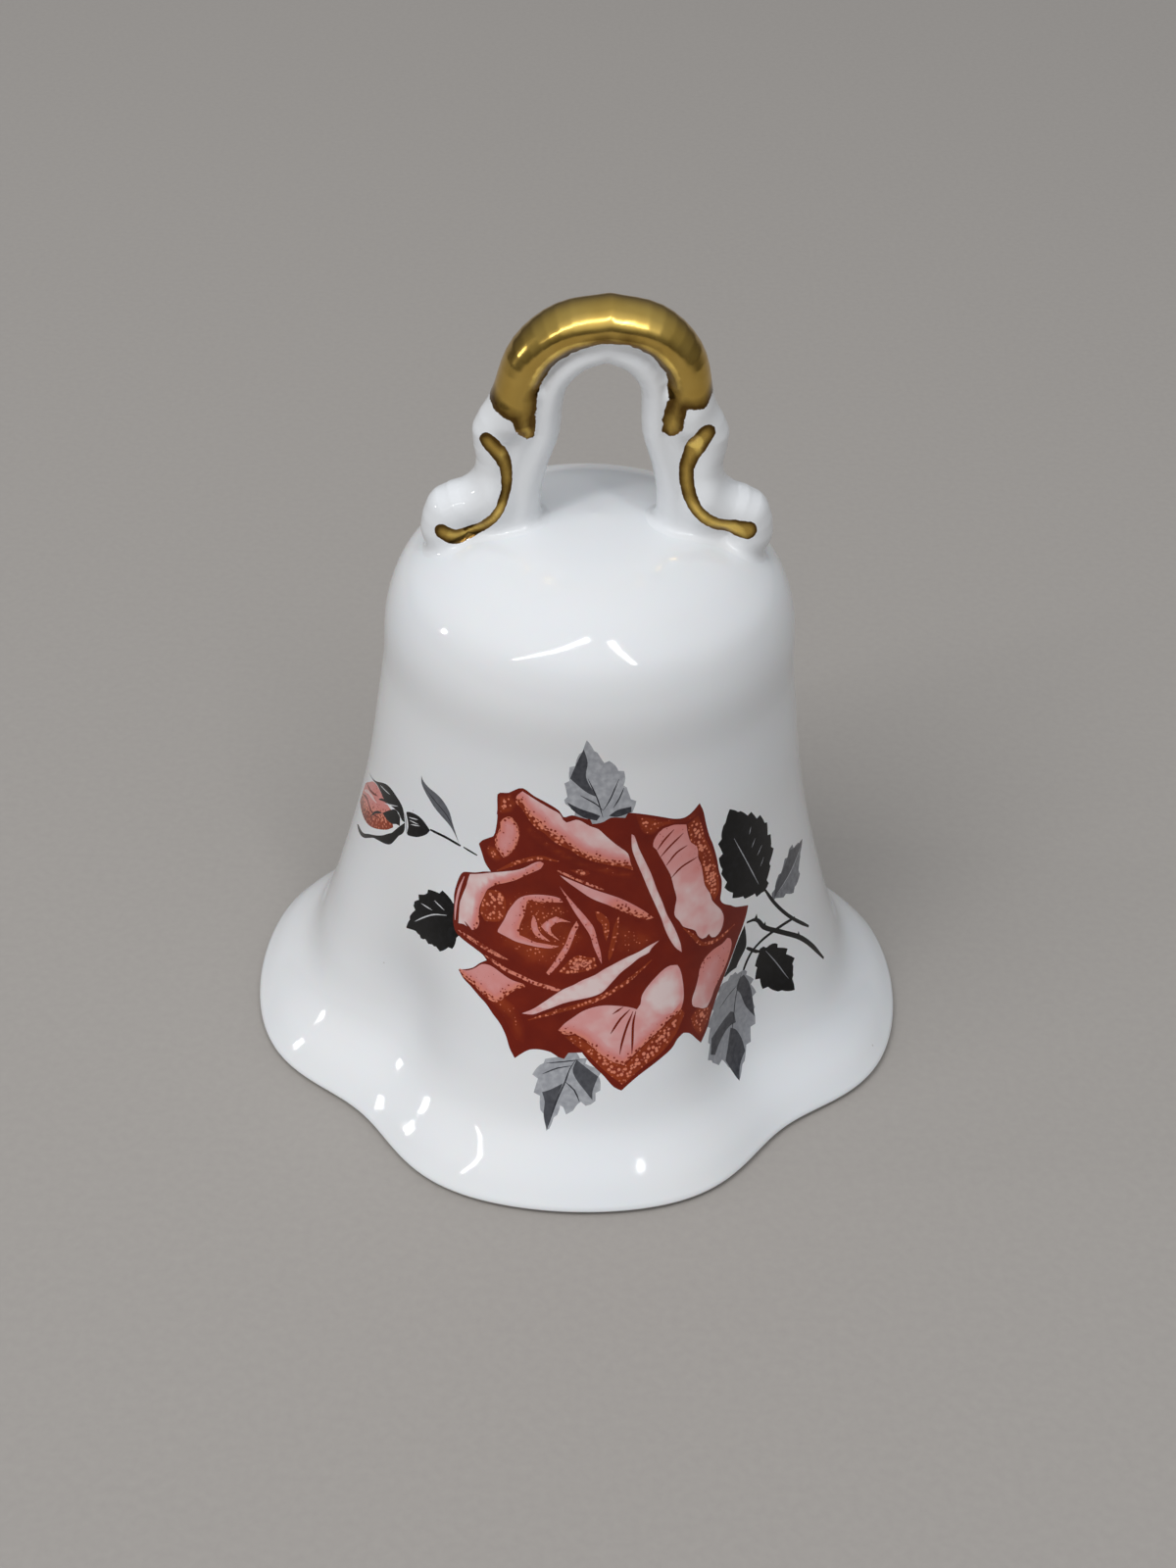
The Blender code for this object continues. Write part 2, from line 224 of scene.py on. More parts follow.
def leaves_behind(art):
    """The leaves and stems that the rose is printed over or that stand clear of it."""
    flat, lines = art.flat, art.lines
    # Slender leaf, upper left.
    flat(LEAF, 0.5, [(-21.4, 46.3), (-21.1, 45.9), (-20.5, 45.6), (-19.7, 45.4), (-18.7, 45.3), (-17.7, 45),
        (-16.8, 44.4), (-16.2, 43.7), (-15.8, 42.8), (-15.2, 41.6), (-14.5, 40.3), (-15.6, 41.7),
        (-16.4, 42.3), (-17.3, 42.7), (-18.6, 43.3), (-19.5, 43.9), (-20.5, 44.6), (-21.2, 45.3)])
    lines(LEAF, 0.25, 0.14, [(-20.6, 45.1), (-18.6, 44.2), (-16.6, 43.2), (-15.2, 41.6)])
    # Black leaf at the rose's left.
    flat(LEAF, 0, [
        (-21.4, 24.5), (-20.9, 26), (-20.3, 27.5), (-19.8, 28.6), (-20.1, 29), (-19.5, 30), (-18.6, 31),
        (-18.3, 31.7), (-17.5, 32.2), (-16.3, 32.6), (-15, 32.5), (-14.4, 32.2), (-14.2, 31), (-14.1, 29.5),
        (-13.9, 28.5), (-13.5, 28.2), (-13.7, 27.3), (-14.2, 26.4), (-15.2, 25.6), (-16.2, 25.1),
        (-16.6, 24.9), (-16.7, 25.2), (-17.8, 25.1), (-18.8, 24.6), (-19, 25.1), (-20.2, 25)],
         tip=(-21.4, 24.5))
    lines(LEAF, 0.95, 0.16, [(-20, 26.4), (-18.5, 28), (-17, 29.3), (-15.2, 30.2)],
          [(-17.2, 31.2), (-15.6, 30.7)], [(-19.2, 29.6), (-17.4, 29.7)])
    # Black leaf, upper right.
    flat(LEAF, 0, [
        (19.1, 44.7), (18.3, 42.9), (17.8, 41.5), (17.9, 39.3), (17.7, 37.5), (18.3, 35.2), (19, 33.4),
        (20.8, 31.8), (23.1, 31), (24.5, 30.7), (25.1, 32), (25.6, 33.4), (26.3, 35.6), (25.8, 37.5),
        (25.4, 39.5), (23.8, 41.1), (22, 42.5), (20.1, 44)], tip=(19.1, 44.7))
    lines(LEAF, 0.8, 0.14, [(19.7, 40.4), (21.3, 37), (23.5, 32)], [(22.6, 40.6), (22.3, 39.7)],
          [(23.3, 38.6), (22.6, 37.7)], [(24.5, 37), (23.5, 36.1)], [(24.7, 35.2), (24, 34.3)])
    # Small grey leaf at the far right.
    flat(LEAF, 0.62, [
        (26, 28.4), (26.7, 30.2), (28.5, 31.3), (30.4, 32.5), (32.2, 31.8), (34.9, 30.9), (32.6, 29.5),
        (31.7, 28.1), (30.4, 27.2), (28.1, 27.7)], tip=(34.9, 30.9))
    flat(LEAF, 0.4, [
        (26, 28.4), (26.7, 30.2), (28.5, 31.3), (30.4, 32.5), (32.2, 31.8), (34.9, 30.9), (31.6, 30.2),
        (28.8, 29.3)])
    lines(LEAF, 0.85, 0.12, [(26.6, 28.7), (29.5, 29.6), (33.4, 30.7)])
    # Stems: two that cross, the lower one thorny, and the twig of the lower leaf.
    lines(LEAF, 0, 0.46, [(24.5, 30.7), (26.2, 27.6), (28.6, 24.1), (31.9, 20.2)],
          [(29.5, 23.4), (27, 23.8), (24.2, 23.6), (22.4, 22.7), (21.5, 21.3), (21, 19.7)],
          [(21.4, 23.8), (23.1, 22.2), (23.8, 21.8)], ends=0.6)
    lines(LEAF, 0, 0.62, [(21.3, 27.7), (22.9, 27.2), (24.2, 25.3), (26.6, 23.2), (29.7, 20.3),
        (31.7, 17.5), (33.5, 14)], ends=0.5)
    for along, height in ((22.8, 27.3), (24.2, 25.3), (29.6, 20.4)):
        thorn = [(along - 0.35, height + 0.1), (along + 0.2, height + 0.75), (along + 0.35, height - 0.2)]
        flat(LEAF, 0, thorn)
    # Black leaf, lower right.
    flat(LEAF, 0, [
        (27.9, 13.6), (27, 14), (25.1, 15.4), (24, 17), (23.4, 18.8), (23.3, 20.9), (23.5, 21.8),
        (25.4, 21.9), (26.3, 20.9), (27.2, 19.7), (28.2, 17.2), (27.9, 16.1)], tip=(27.9, 13.6))
    lines(LEAF, 0.7, 0.13, [(24.5, 21.5), (26, 18.8), (27.4, 15.6)])
    # Black leaf that shows as a sliver beside the rose.
    flat(LEAF, 0, [
        (21, 27.5), (21.3, 25.5), (21.3, 24), (20.7, 23), (20.2, 22.3), (19.9, 21.6), (18.9, 21.6),
        (18, 21.4), (17.8, 21.6), (18.6, 22.9), (19.5, 24.9), (20.4, 26.6)])
    # Grey leaf, lower right, with its darker parts and veins.
    flat(LEAF, 0.74, [(21, 20.3), (17.5, 20.5), (16.5, 18.5), (15.6, 16.5), (15.2, 14), (15.1, 11.3),
        (17.2, 9.8), (18.3, 6.8), (20.4, 8.8), (22.6, 12.4), (22.6, 14), (22.7, 16), (22.3, 18),
        (21.4, 19.8)], tip=(18.3, 6.8))
    for dark in (
        [(20.6, 19.4), (21.3, 19.6), (22.2, 17.8), (22.7, 15.6), (22.8, 12.3), (22.3, 13.2), (21.7, 14.4),
         (21.3, 15.6), (20.9, 16.8), (20.2, 18.1)],
        [(15.1, 12.2), (15.5, 14.1), (17, 14.6), (19.2, 15.1), (19.8, 14.6), (20, 13), (18.8, 13.2),
         (17.6, 12.9), (16.4, 12.2), (15.8, 11.6)],
        [(17.3, 9.8), (18.1, 10.9), (19, 12.9), (19.9, 12), (20.5, 10.4), (20.5, 8.9), (19.2, 8), (18.3, 6.8),
         (17.8, 8.2)],
    ):
        flat(LEAF, 0.36, dark)
    lines(LEAF, 0.3, 0.16, [(18.6, 11), (19.6, 13.5), (20.2, 17), (20.9, 20.2)],
          [(17.1, 17.1), (18.8, 17.9), (20.3, 18.5)])
    # Grey leaf under the rose.
    flat(LEAF, 0.8, [(0.4, 17), (-1, 16.4), (-2.6, 15.4), (-3, 14), (-2.9, 12.9), (-2.6, 11.1), (-2.2, 9.3),
        (-1.75, 7.6), (-0.8, 10.6), (-0.1, 10), (1, 11), (2.2, 11.1), (2.8, 14), (1.7, 15.4)],
        tip=(-1.75, 7.6))
    flat(LEAF, 0.4, [(0.6, 16.2), (2.7, 14.1), (2.2, 12.3), (2.2, 11.2), (1.7, 12), (0.3, 14.6)])
    flat(LEAF, 0.4, [
        (-2.5, 11.9), (-1.9, 12.2), (-0.6, 13.2), (-1, 11.6), (-1.5, 9.2), (-1.8, 7.6), (-2.2, 9.3),
        (-2.2, 10.8)])
    lines(LEAF, 0.3, 0.15, [(-1.7, 8.2), (-1.1, 11), (-0.4, 13.4), (0, 15), (0.6, 16.3)],
          [(-2.6, 14.1), (-1.2, 15), (0.2, 15.4)], [(-2.3, 15.5), (0, 16), (0.9, 16.2)],
          [(-0.4, 13.4), (0.5, 12.4), (1, 11)])


def rose(art):
    """The open rose: a dark silhouette, and on it the petals with stippled edges."""
    area, flat, lines = art.area, art.flat, art.lines
    flat(ROSE, 0.03, [(-10, 48.6), (-9.7, 48.9), (-8.6, 49.2), (-7.8, 49.8), (-6.9, 50.2), (-5.5, 49.5),
        (-4, 48.9), (-2.5, 48.1), (-1.9, 47.3), (-1.6, 47.3), (-0.9, 47.6), (1, 47.2), (3, 47.4),
        (4.2, 47.9), (6, 47.8), (8, 47.3), (10, 46.6), (11.3, 46.1), (12.6, 45.9), (13.6, 46.3),
        (14.7, 47.2), (15.2, 46), (15.6, 44), (16, 42.4), (16.5, 41), (17, 39), (17.3, 37), (17.6, 35.6),
        (17.5, 34.2), (17.3, 33.1), (17.8, 32.3), (18.8, 31.6), (19.5, 31), (21.6, 30.1), (21.3, 29),
        (20.8, 27.8), (20, 26.2), (19, 24), (18, 22), (17.2, 20.5), (16.5, 19.2), (15.5, 17.2), (14.9, 16),
        (13.8, 14.8), (13.3, 15.6), (12.3, 17.1), (11.6, 17.5), (10.9, 17.1), (10.2, 16.2), (9, 15.4),
        (7, 14.1), (6, 13.3), (4.9, 12.2), (4.2, 12.7), (3.2, 14.2), (2, 15.7), (1.1, 17.1), (-0.2, 17),
        (-0.6, 16.2), (-1.2, 16.4), (-1.9, 16.9), (-3, 17.1), (-4, 16.9), (-4.7, 16.3), (-5.4, 15.5),
        (-6, 16.6), (-6.5, 18), (-7.2, 19.3), (-8.2, 20.4), (-9, 21.3), (-10, 22), (-11, 22.7), (-12, 23.2),
        (-12.8, 24), (-11.8, 24.6), (-11, 25.2), (-10.2, 26.2), (-9.5, 26.8), (-10, 27.3), (-11, 27.7),
        (-13.6, 28.6), (-14.2, 29.8), (-14.3, 31.5), (-14.5, 33.5), (-14.3, 35), (-14, 36.2), (-13.6, 36.9),
        (-12.9, 37.2), (-12, 37.5), (-11, 38), (-10.1, 38.3), (-10.9, 39.2), (-11.4, 40.3), (-11.9, 41.4),
        (-11.5, 42), (-10.6, 42.7), (-10.1, 43.1), (-9.9, 44), (-9.8, 45.5), (-9.9, 47)])
    # Stippled shading on the dark ground: round the heart, under the long petals, along the outer edge.
    area(ROSE, 0.42, [(-9.9, 46), (-9.8, 48.5), (-8.2, 49.2), (-7.4, 48.2), (-7.9, 46.9), (-9, 46.4)],
        edge=0.1)
    area(ROSE, 0.4, [(-10.9, 41), (-10.3, 42.5), (-9.5, 41.5), (-8.9, 40.4), (-9.4, 39.7), (-10.4, 40)],
        edge=0.1)
    area(ROSE, 0.3, [(-6.6, 45.2), (-4, 43), (-1, 41.4), (3, 39.9), (6.8, 38.8), (6.5, 40), (3, 41),
        (0, 42), (-3, 43.7), (-5, 45), (-6.4, 46.6)], edge=0.06)
    area(ROSE, 0.24, [(-9, 35.8), (-6.5, 37.2), (-3.6, 38.4), (-2, 37.6), (-0.4, 35.6), (0.8, 33.6),
        (1.8, 31.4), (0, 28.6), (-2.4, 26.6), (-5.4, 27.2), (-8.8, 28.6), (-9.4, 31)], reach=2, edge=0.04)
    area(ROSE, 0.26, [(3.4, 34.4), (6.4, 33.6), (8.6, 32), (9.6, 30.6), (7, 29.2), (4.2, 28.2),
        (3.4, 30.2)], reach=1.6, edge=0.05)
    area(ROSE, 0.45, [(13, 44.9), (14.5, 45.7), (15, 44), (15.5, 42), (16.3, 40.3), (16.8, 38), (17.2, 36),
        (17.1, 34.3), (16.4, 33.4), (16, 34.4), (15.2, 36), (15, 37.4), (14.8, 38.8), (14.4, 40.4),
        (13.5, 42.3)], edge=0.25)
    area(ROSE, 0.42, [(6.6, 47.4), (8, 47), (10, 46.3), (11.3, 45.9), (12.6, 45.7), (13.6, 46.1),
        (14.4, 46.8), (14.7, 45.9), (13.2, 45.3), (11.4, 45.5), (9.8, 45.4), (8.6, 44.6), (7.6, 44.9),
        (7, 46)], edge=0.16)
    area(ROSE, 0.5, [
        (-0.6, 19), (0.5, 19.2), (2, 17.9), (4, 15.9), (5.2, 15.2), (7.2, 17.4), (9.2, 19.1), (10.4, 20.1),
        (11.4, 21), (11.9, 20), (11.2, 18.6), (10.6, 17.6), (9, 16), (7, 14.7), (5, 12.9), (3.3, 14.8),
        (1.6, 16.9), (0.4, 18)], edge=0.25)
    area(ROSE, 0.4, [(13.6, 20), (15.4, 19), (15.6, 18), (14.6, 16.4), (13.8, 15.6), (13, 17.2),
        (12.6, 19)], edge=0.15)
    area(ROSE, 0.3, [(-11.9, 23.6), (-9, 22), (-7, 20.4), (-5.6, 18), (-4.6, 17.6), (-4.8, 20),
        (-6.4, 22.4), (-9.4, 23.2)], reach=1, edge=0.1)
    lines(ROSE, 0.34, 0.5, [(-9.4, 38.6), (-7, 40.4), (-4.4, 41.6), (-2.2, 41.4)],
          [(12.2, 31.3), (13.4, 29.8), (14.6, 28.2), (17, 27.8), (19.4, 28.6)],
          [(-4.4, 20.6), (-1.4, 22.2), (2.2, 23.7), (5, 25.4), (8.4, 28.2)])

    # Outer petals.
    area(ROSE, 0.93, [(-7.6, 49), (-6.9, 49.8), (-5, 48.9), (-3.5, 48.2), (-2.3, 47.6), (-1.9, 46.9),
        (-1.5, 46.6), (-1, 46.8), (-0.4, 47.05), (0.2, 46.9), (1.2, 46.3), (2.2, 45.9), (3.1, 45),
        (4.2, 43.9), (5, 43.2), (5.7, 42.5), (6.1, 41), (6.4, 40.2), (5.2, 40.7), (4, 41), (3, 41.3),
        (1, 41.9), (0, 42.4), (-1, 43.1), (-2, 43.5), (-3.2, 44.2), (-4, 44.9), (-5, 45.4), (-6, 46.4),
        (-6.8, 47.5), (-7.6, 48.2)], [(6.4, 40), (4, 41), (1, 41.9), (-1, 43.1), (-4, 44.9), (-6, 46.4),
        (-7.4, 48.2)], 1.9, 0.3)
    area(ROSE, 0.74, [
        (-8.1, 46.2), (-7.4, 45.5), (-7, 44.6), (-7, 43.3), (-7.4, 42.2), (-8.2, 41), (-8.7, 40.6),
        (-9.3, 41.2), (-9.9, 42.2), (-9.8, 43.3), (-9.4, 44.3), (-9.4, 45.2), (-8.9, 45.9)])
    area(ROSE, 0.97, [
        (-12.7, 37), (-11.5, 37.5), (-10.2, 38.1), (-8.5, 38.8), (-7, 39.4), (-6, 40), (-5, 40.8),
        (-4.3, 41.1), (-3.9, 40.9), (-4.2, 40.2), (-5, 39.6), (-6, 38.9), (-7, 38.1), (-8.2, 37.4),
        (-9.3, 36.8), (-10.3, 35.9), (-10.6, 35), (-10.9, 34), (-11.1, 33), (-11, 32.2), (-10.9, 31.3),
        (-11.1, 30.4), (-11.7, 29.9), (-12.8, 30.2), (-13.5, 30), (-13.6, 32.8), (-13.3, 34.3), (-13, 35.5),
        (-12.8, 36.6)],
         [(-4, 40.9), (-6, 38.9), (-9.3, 36.8), (-10.6, 35), (-11, 32.2), (-11.2, 30.2)], 0.9, 0.5)
    lines(ROSE, 0.1, 0.3, [(-12.9, 37.2), (-13.1, 35.6), (-13.5, 34), (-13.8, 32.5), (-13.8, 30.5)],
          [(-12.7, 30.6), (-11.6, 29.7), (-10.4, 29.3)])
    lines(ROSE, 0.86, 0.3, [(-13.4, 36.4), (-13.9, 34.4), (-14.1, 32), (-14, 30.2)])
    lines(ROSE, 0.5, 0.5, [(-13.4, 29.1), (-11, 28.6), (-9.5, 28.2), (-8, 27.8), (-7, 27.6)])
    area(ROSE, 0.9, [
        (9.9, 45.1), (10.5, 45.2), (11.3, 45.3), (12.2, 45.1), (12.9, 44.9), (13, 44), (13.2, 43.1),
        (13.5, 42.3), (14.2, 41.6), (14.4, 40.8), (14.4, 40), (14.8, 38.8), (15, 37.4), (15.2, 36),
        (15.9, 34.5), (16.1, 33.6), (16.7, 32.6), (17.2, 31.9), (17.6, 31), (17.7, 30.2), (17.4, 29.1),
        (16.9, 28.5), (16.4, 28.3), (15.9, 28.5), (15.5, 29.2), (15.1, 28.9), (14.6, 28.9), (14, 29.6),
        (13.7, 30.4), (12.9, 31), (12.2, 31.5), (11.8, 32.3), (11.2, 33.3), (11.3, 34.4), (11.5, 35.5),
        (11.2, 37), (11, 38), (10.8, 38.8), (10.4, 39.7), (9.8, 41), (9.4, 41.8), (9.1, 42.5), (8.7, 43),
        (8.8, 43.8), (9.3, 44.6)], [(8.8, 43.4), (10.6, 45.4), (13, 45), (14.6, 41)], 5, 0.7)
    lines(ROSE, 0.08, 0.24, [(9.1, 44.7), (10, 45.2)], [(9.2, 42.4), (10, 43.5), (11.3, 44.7)],
          [(9.6, 41.4), (10.8, 42.6), (12.5, 43.9)], [(10.3, 40.1), (11.6, 41.5), (13, 42.1)],
          [(10.9, 38.3), (12.2, 39.4), (14.3, 40.1)])
    area(ROSE, 0.86, [(-1.3, 19.8), (-0.7, 20.7), (0.2, 21.6), (1, 22.3), (2, 22.8), (3.2, 23.05),
        (4.6, 22.9), (5.8, 22.6), (6.6, 22.2), (7, 22.8), (7.2, 23.9), (8, 25.1), (9, 26.1), (9.8, 26.7),
        (10.5, 26.9), (11.3, 26.7), (11.6, 26), (11.8, 24.8), (11.9, 22.8), (11.7, 21.4), (11.2, 20.5),
        (10, 20), (9.2, 19.2), (8.3, 18.5), (7.2, 17.5), (6.2, 16.5), (5.2, 15.3), (4, 15.9), (3, 16.8),
        (2, 17.9), (1.2, 18.8), (0.4, 19.4), (-0.6, 19.2)], [(-1.3, 19.6), (0.6, 19.2), (3, 16.7),
        (5.2, 15.2), (8.3, 18.4), (11.4, 20.6)], 1.3, 0.45)
    area(ROSE, 1, [(7.4, 23.4), (8.2, 25.1), (9.8, 26.5), (11.1, 26.5), (11.5, 24.6), (11.5, 22),
        (10.4, 20.7), (8.8, 21)], edge=0.86)
    lines(ROSE, 0.06, 0.24, [(5.2, 22.7), (4.1, 21.9)], [(5.9, 22.3), (4.9, 21.2), (3.9, 19.4)],
          [(6.2, 22), (5.5, 20), (5, 18), (4.8, 16.7)], [(6.5, 22), (6.2, 20.5), (6.1, 18.5), (6, 16.6)])
    area(ROSE, 0.92, [
        (14.2, 25.3), (15, 26.2), (16.2, 26.7), (17.5, 26.8), (18.2, 27.2), (18.7, 26.8), (18.9, 25.8),
        (18.6, 24.6), (18.2, 23.6), (17.6, 22.6), (17, 21.8), (16.2, 20.8), (15.7, 19.8), (15, 19),
        (14.4, 19.2), (13.7, 19.8), (13, 20.4), (12.9, 21.4), (13.4, 22.6), (13.8, 23.8)],
         [(14.2, 25.4), (16.2, 26.8), (18.4, 27.2), (18.8, 25), (17, 21.8)], 3, 0.62)
    area(ROSE, 0.78, [
        (-12.7, 24.2), (-11.8, 24.4), (-10.8, 25.2), (-10, 26.1), (-9.1, 26.3), (-8.2, 26), (-7.4, 25.6),
        (-6.4, 25.2), (-5.2, 25), (-5, 24.7), (-6, 24.1), (-6.6, 23.4), (-7.2, 22.6), (-7.9, 21.9),
        (-8.8, 22), (-9.6, 22.4), (-10.6, 23), (-11.6, 23.3), (-12.4, 23.6)],
         [(-5, 24.8), (-6.6, 23.4), (-7.9, 21.9), (-10.6, 23), (-12.6, 23.7)], 1.1, 0.4)

    # Inner petals and the heart.
    area(ROSE, 0.44, [(-10.3, 35.8), (-9, 36.1), (-8.2, 35.5), (-7.9, 34.2), (-8, 33), (-8.6, 32.2),
                      (-10.2, 31.7), (-10.9, 32.6), (-10.8, 34)], edge=0.3)
    area(ROSE, 0.82, [
        (-1.5, 36.1), (-1.9, 36.6), (-3, 36.8), (-4.5, 36.7), (-5.8, 36.3), (-6.6, 35.7), (-7.1, 34.9),
        (-7.6, 33.9), (-8, 32.6), (-8.6, 31.1), (-8.6, 30.8), (-7.5, 30.5), (-6.5, 30.2), (-5.5, 30.1),
        (-4, 30), (-2.5, 30.05), (-1.7, 30.4), (-2.8, 30.5), (-4.4, 30.6), (-5.3, 30.9), (-6.1, 31.1),
        (-6.2, 32), (-6, 33), (-5.7, 34), (-5.6, 35.2), (-5.4, 35.85), (-4, 35.8), (-2.5, 36)],
         [(-1.6, 36), (-5.4, 35.8), (-6.2, 32), (-6.1, 31.1), (-2, 30.4)], 0.8, 0.55)
    area(ROSE, 0.86, [(-0.5, 33.6), (-2.2, 34.2), (-3.2, 33.5), (-3.8, 32.7), (-3, 31.9), (-2, 31.3),
        (-1.6, 31.1), (-2.6, 32.1), (-2.7, 32.7), (-2.2, 33.3), (-1.5, 33.6)], reach=0.3, edge=0.6)
    area(ROSE, 0.78, [(-4.7, 34), (-4.3, 33.2), (-4.1, 32.3), (-3.6, 31.6), (-2.9, 31.1), (-2.7, 30.9),
                      (-3.6, 31.05), (-4.3, 31.4), (-4.8, 32.2), (-4.9, 33.1)], reach=0.3, edge=0.6)
    area(ROSE, 0.8, [
        (0.1, 33.8), (0.4, 33.1), (0.1, 32.6), (-0.2, 31.5), (-0.6, 30.2), (-1.1, 29), (-1.8, 27.8),
        (-2.6, 26.6), (-2.9, 26.9), (-2.3, 28), (-1.6, 29.5), (-1, 30.8), (-0.7, 31.9), (-0.4, 32.8)],
         reach=0.3, edge=0.6)
    area(ROSE, 0.88, [
        (-2, 38.2), (-1.3, 37.3), (-0.3, 36.1), (0.6, 35), (1.3, 34.1), (2, 33), (2.5, 31), (2.8, 29.8),
        (2.95, 28.3), (2.5, 29.3), (2, 30.6), (1.6, 32), (0.8, 33.4), (-0.2, 35), (-1.3, 37)],
         reach=0.3, edge=0.65)
    area(ROSE, 0.84, [
        (-2, 39.6), (0, 38.8), (2, 37.9), (3.5, 37.3), (5, 36.6), (6.5, 35.6), (7.6, 34.7), (8.7, 33.6),
        (7.8, 33.5), (6.5, 34.2), (5, 35), (3.5, 35.9), (2, 36.6), (1.2, 37.1), (0, 38), (-1.2, 38.9)],
         [(8.9, 33.4), (7.2, 33.6), (4.6, 35)], 2.2, 0.42)
    lines(ROSE, 0.5, 0.3, [(-2.3, 40.2), (0, 39.2), (3, 37.9)], ends=0.5)
    area(ROSE, 0.6, [(-0.9, 40.4), (0, 40.5), (1.2, 40.4), (1.4, 40), (0.9, 39.7), (0.2, 39.8)])
    area(ROSE, 0.72, [
        (-9.9, 27.4), (-8.6, 27.1), (-7, 26.5), (-5.5, 26.1), (-4, 25.6), (-2.5, 25.3), (-1.1, 24.9),
        (-1.6, 24.7), (-3, 24.9), (-4.5, 25.3), (-6, 25.8), (-7.5, 26.2), (-9, 26.9)], reach=0.3, edge=0.5)
    area(ROSE, 0.5, [(-0.9, 28.2), (-0.2, 29), (0.4, 29.4), (1.3, 29.2), (2.2, 29.1), (2.3, 28.3),
        (2.5, 28), (1.8, 27.6), (0.5, 27.2), (-0.8, 27), (-1.6, 27.1), (-1.2, 27.7)], edge=0.35)
    area(ROSE, 0.46, [(2.1, 35.1), (2.8, 34.9), (3.6, 33.9), (3.7, 32.6), (3.4, 31.2), (3.1, 32.2),
        (2.9, 33.4), (2.4, 34)], edge=0.35)
    area(ROSE, 0.46, [(4.8, 34.5), (4.7, 33), (4.6, 31.8), (4.3, 30.5), (4, 29.3), (3.7, 28.7), (3.6, 29.2),
                      (3.8, 30.6), (4, 31.8), (4.2, 33)], edge=0.35)
    # The two long spears of light.
    area(ROSE, 1, [
        (6.1, 45), (6.1, 44.5), (6.2, 43), (6.7, 41.4), (7.4, 39.5), (8.2, 37.2), (8.9, 35.3), (9.6, 33.3),
        (10, 31.8), (10.5, 30.4), (11.2, 29), (11.9, 28.2), (11.8, 29.3), (11.4, 30.8), (10.9, 32.2),
        (10.3, 33.6), (9.7, 35.6), (9.1, 37.3), (8.5, 39.3), (7.7, 41.3), (7, 43), (6.4, 44.8)],
         reach=0.3, edge=0.9)
    area(ROSE, 1, [
        (-5.1, 21.3), (-4, 22.1), (-3, 23.1), (-2, 24.1), (-1, 25), (0, 25.6), (1, 26.3), (2.2, 26.9),
        (3, 27.5), (4, 28.1), (5.5, 28.9), (7, 29.5), (8.2, 30.1), (9.3, 30.5), (8.4, 29.7), (8.1, 29.2),
        (7, 28.7), (6, 27.9), (5, 27.1), (4, 25.9), (3, 24.7), (2, 24.2), (1, 23.9), (0, 23.6), (-1, 23.2),
        (-2, 22.6), (-3, 22), (-4, 21.4)], reach=0.3, edge=0.9)


def top_leaf(art):
    """The grey leaf that stands on the rose's upper edge and is printed over it."""
    flat, lines = art.flat, art.lines
    flat(LEAF, 0.8, [
        (0.5, 57.5), (0.2, 56.3), (-0.5, 54.7), (-0.8, 53.8), (-1.3, 52.4), (-1.45, 50.6), (-1.6, 49.2),
        (-0.1, 47.9), (1.3, 47.2), (2.8, 47), (4, 47.5), (6.05, 47.9), (6.05, 49.3), (5.1, 51.1), (5, 52.2),
        (4, 53.8), (2.6, 54.5)], tip=(0.5, 57.5))
    flat(LEAF, 0.36, [(0.2, 56.3), (-0.5, 54.6), (-1.3, 52.3), (0.6, 50.7), (2, 50), (0.6, 52.5),
        (0.7, 54.5)])
    flat(LEAF, 0.3, [(-1.5, 49.2), (0, 48.5), (1.5, 48), (2.4, 47.6), (2, 47), (0.4, 47.4), (-1, 48.4)])
    flat(LEAF, 0.3, [(3.4, 47.6), (4.4, 48.3), (6.05, 48.6), (6.05, 47.9), (4.4, 47.4)])
    lines(LEAF, 0.28, 0.16, [(2.7, 47.4), (2, 49.8), (0.8, 52.4)],
          [(2.7, 48.3), (3.4, 49.5), (4.2, 51.5), (4.5, 52.3)], [(3.9, 48.6), (4.6, 49.8), (5.1, 51.1)],
          [(2.7, 48.3), (1.9, 49.1), (0, 50.2)])


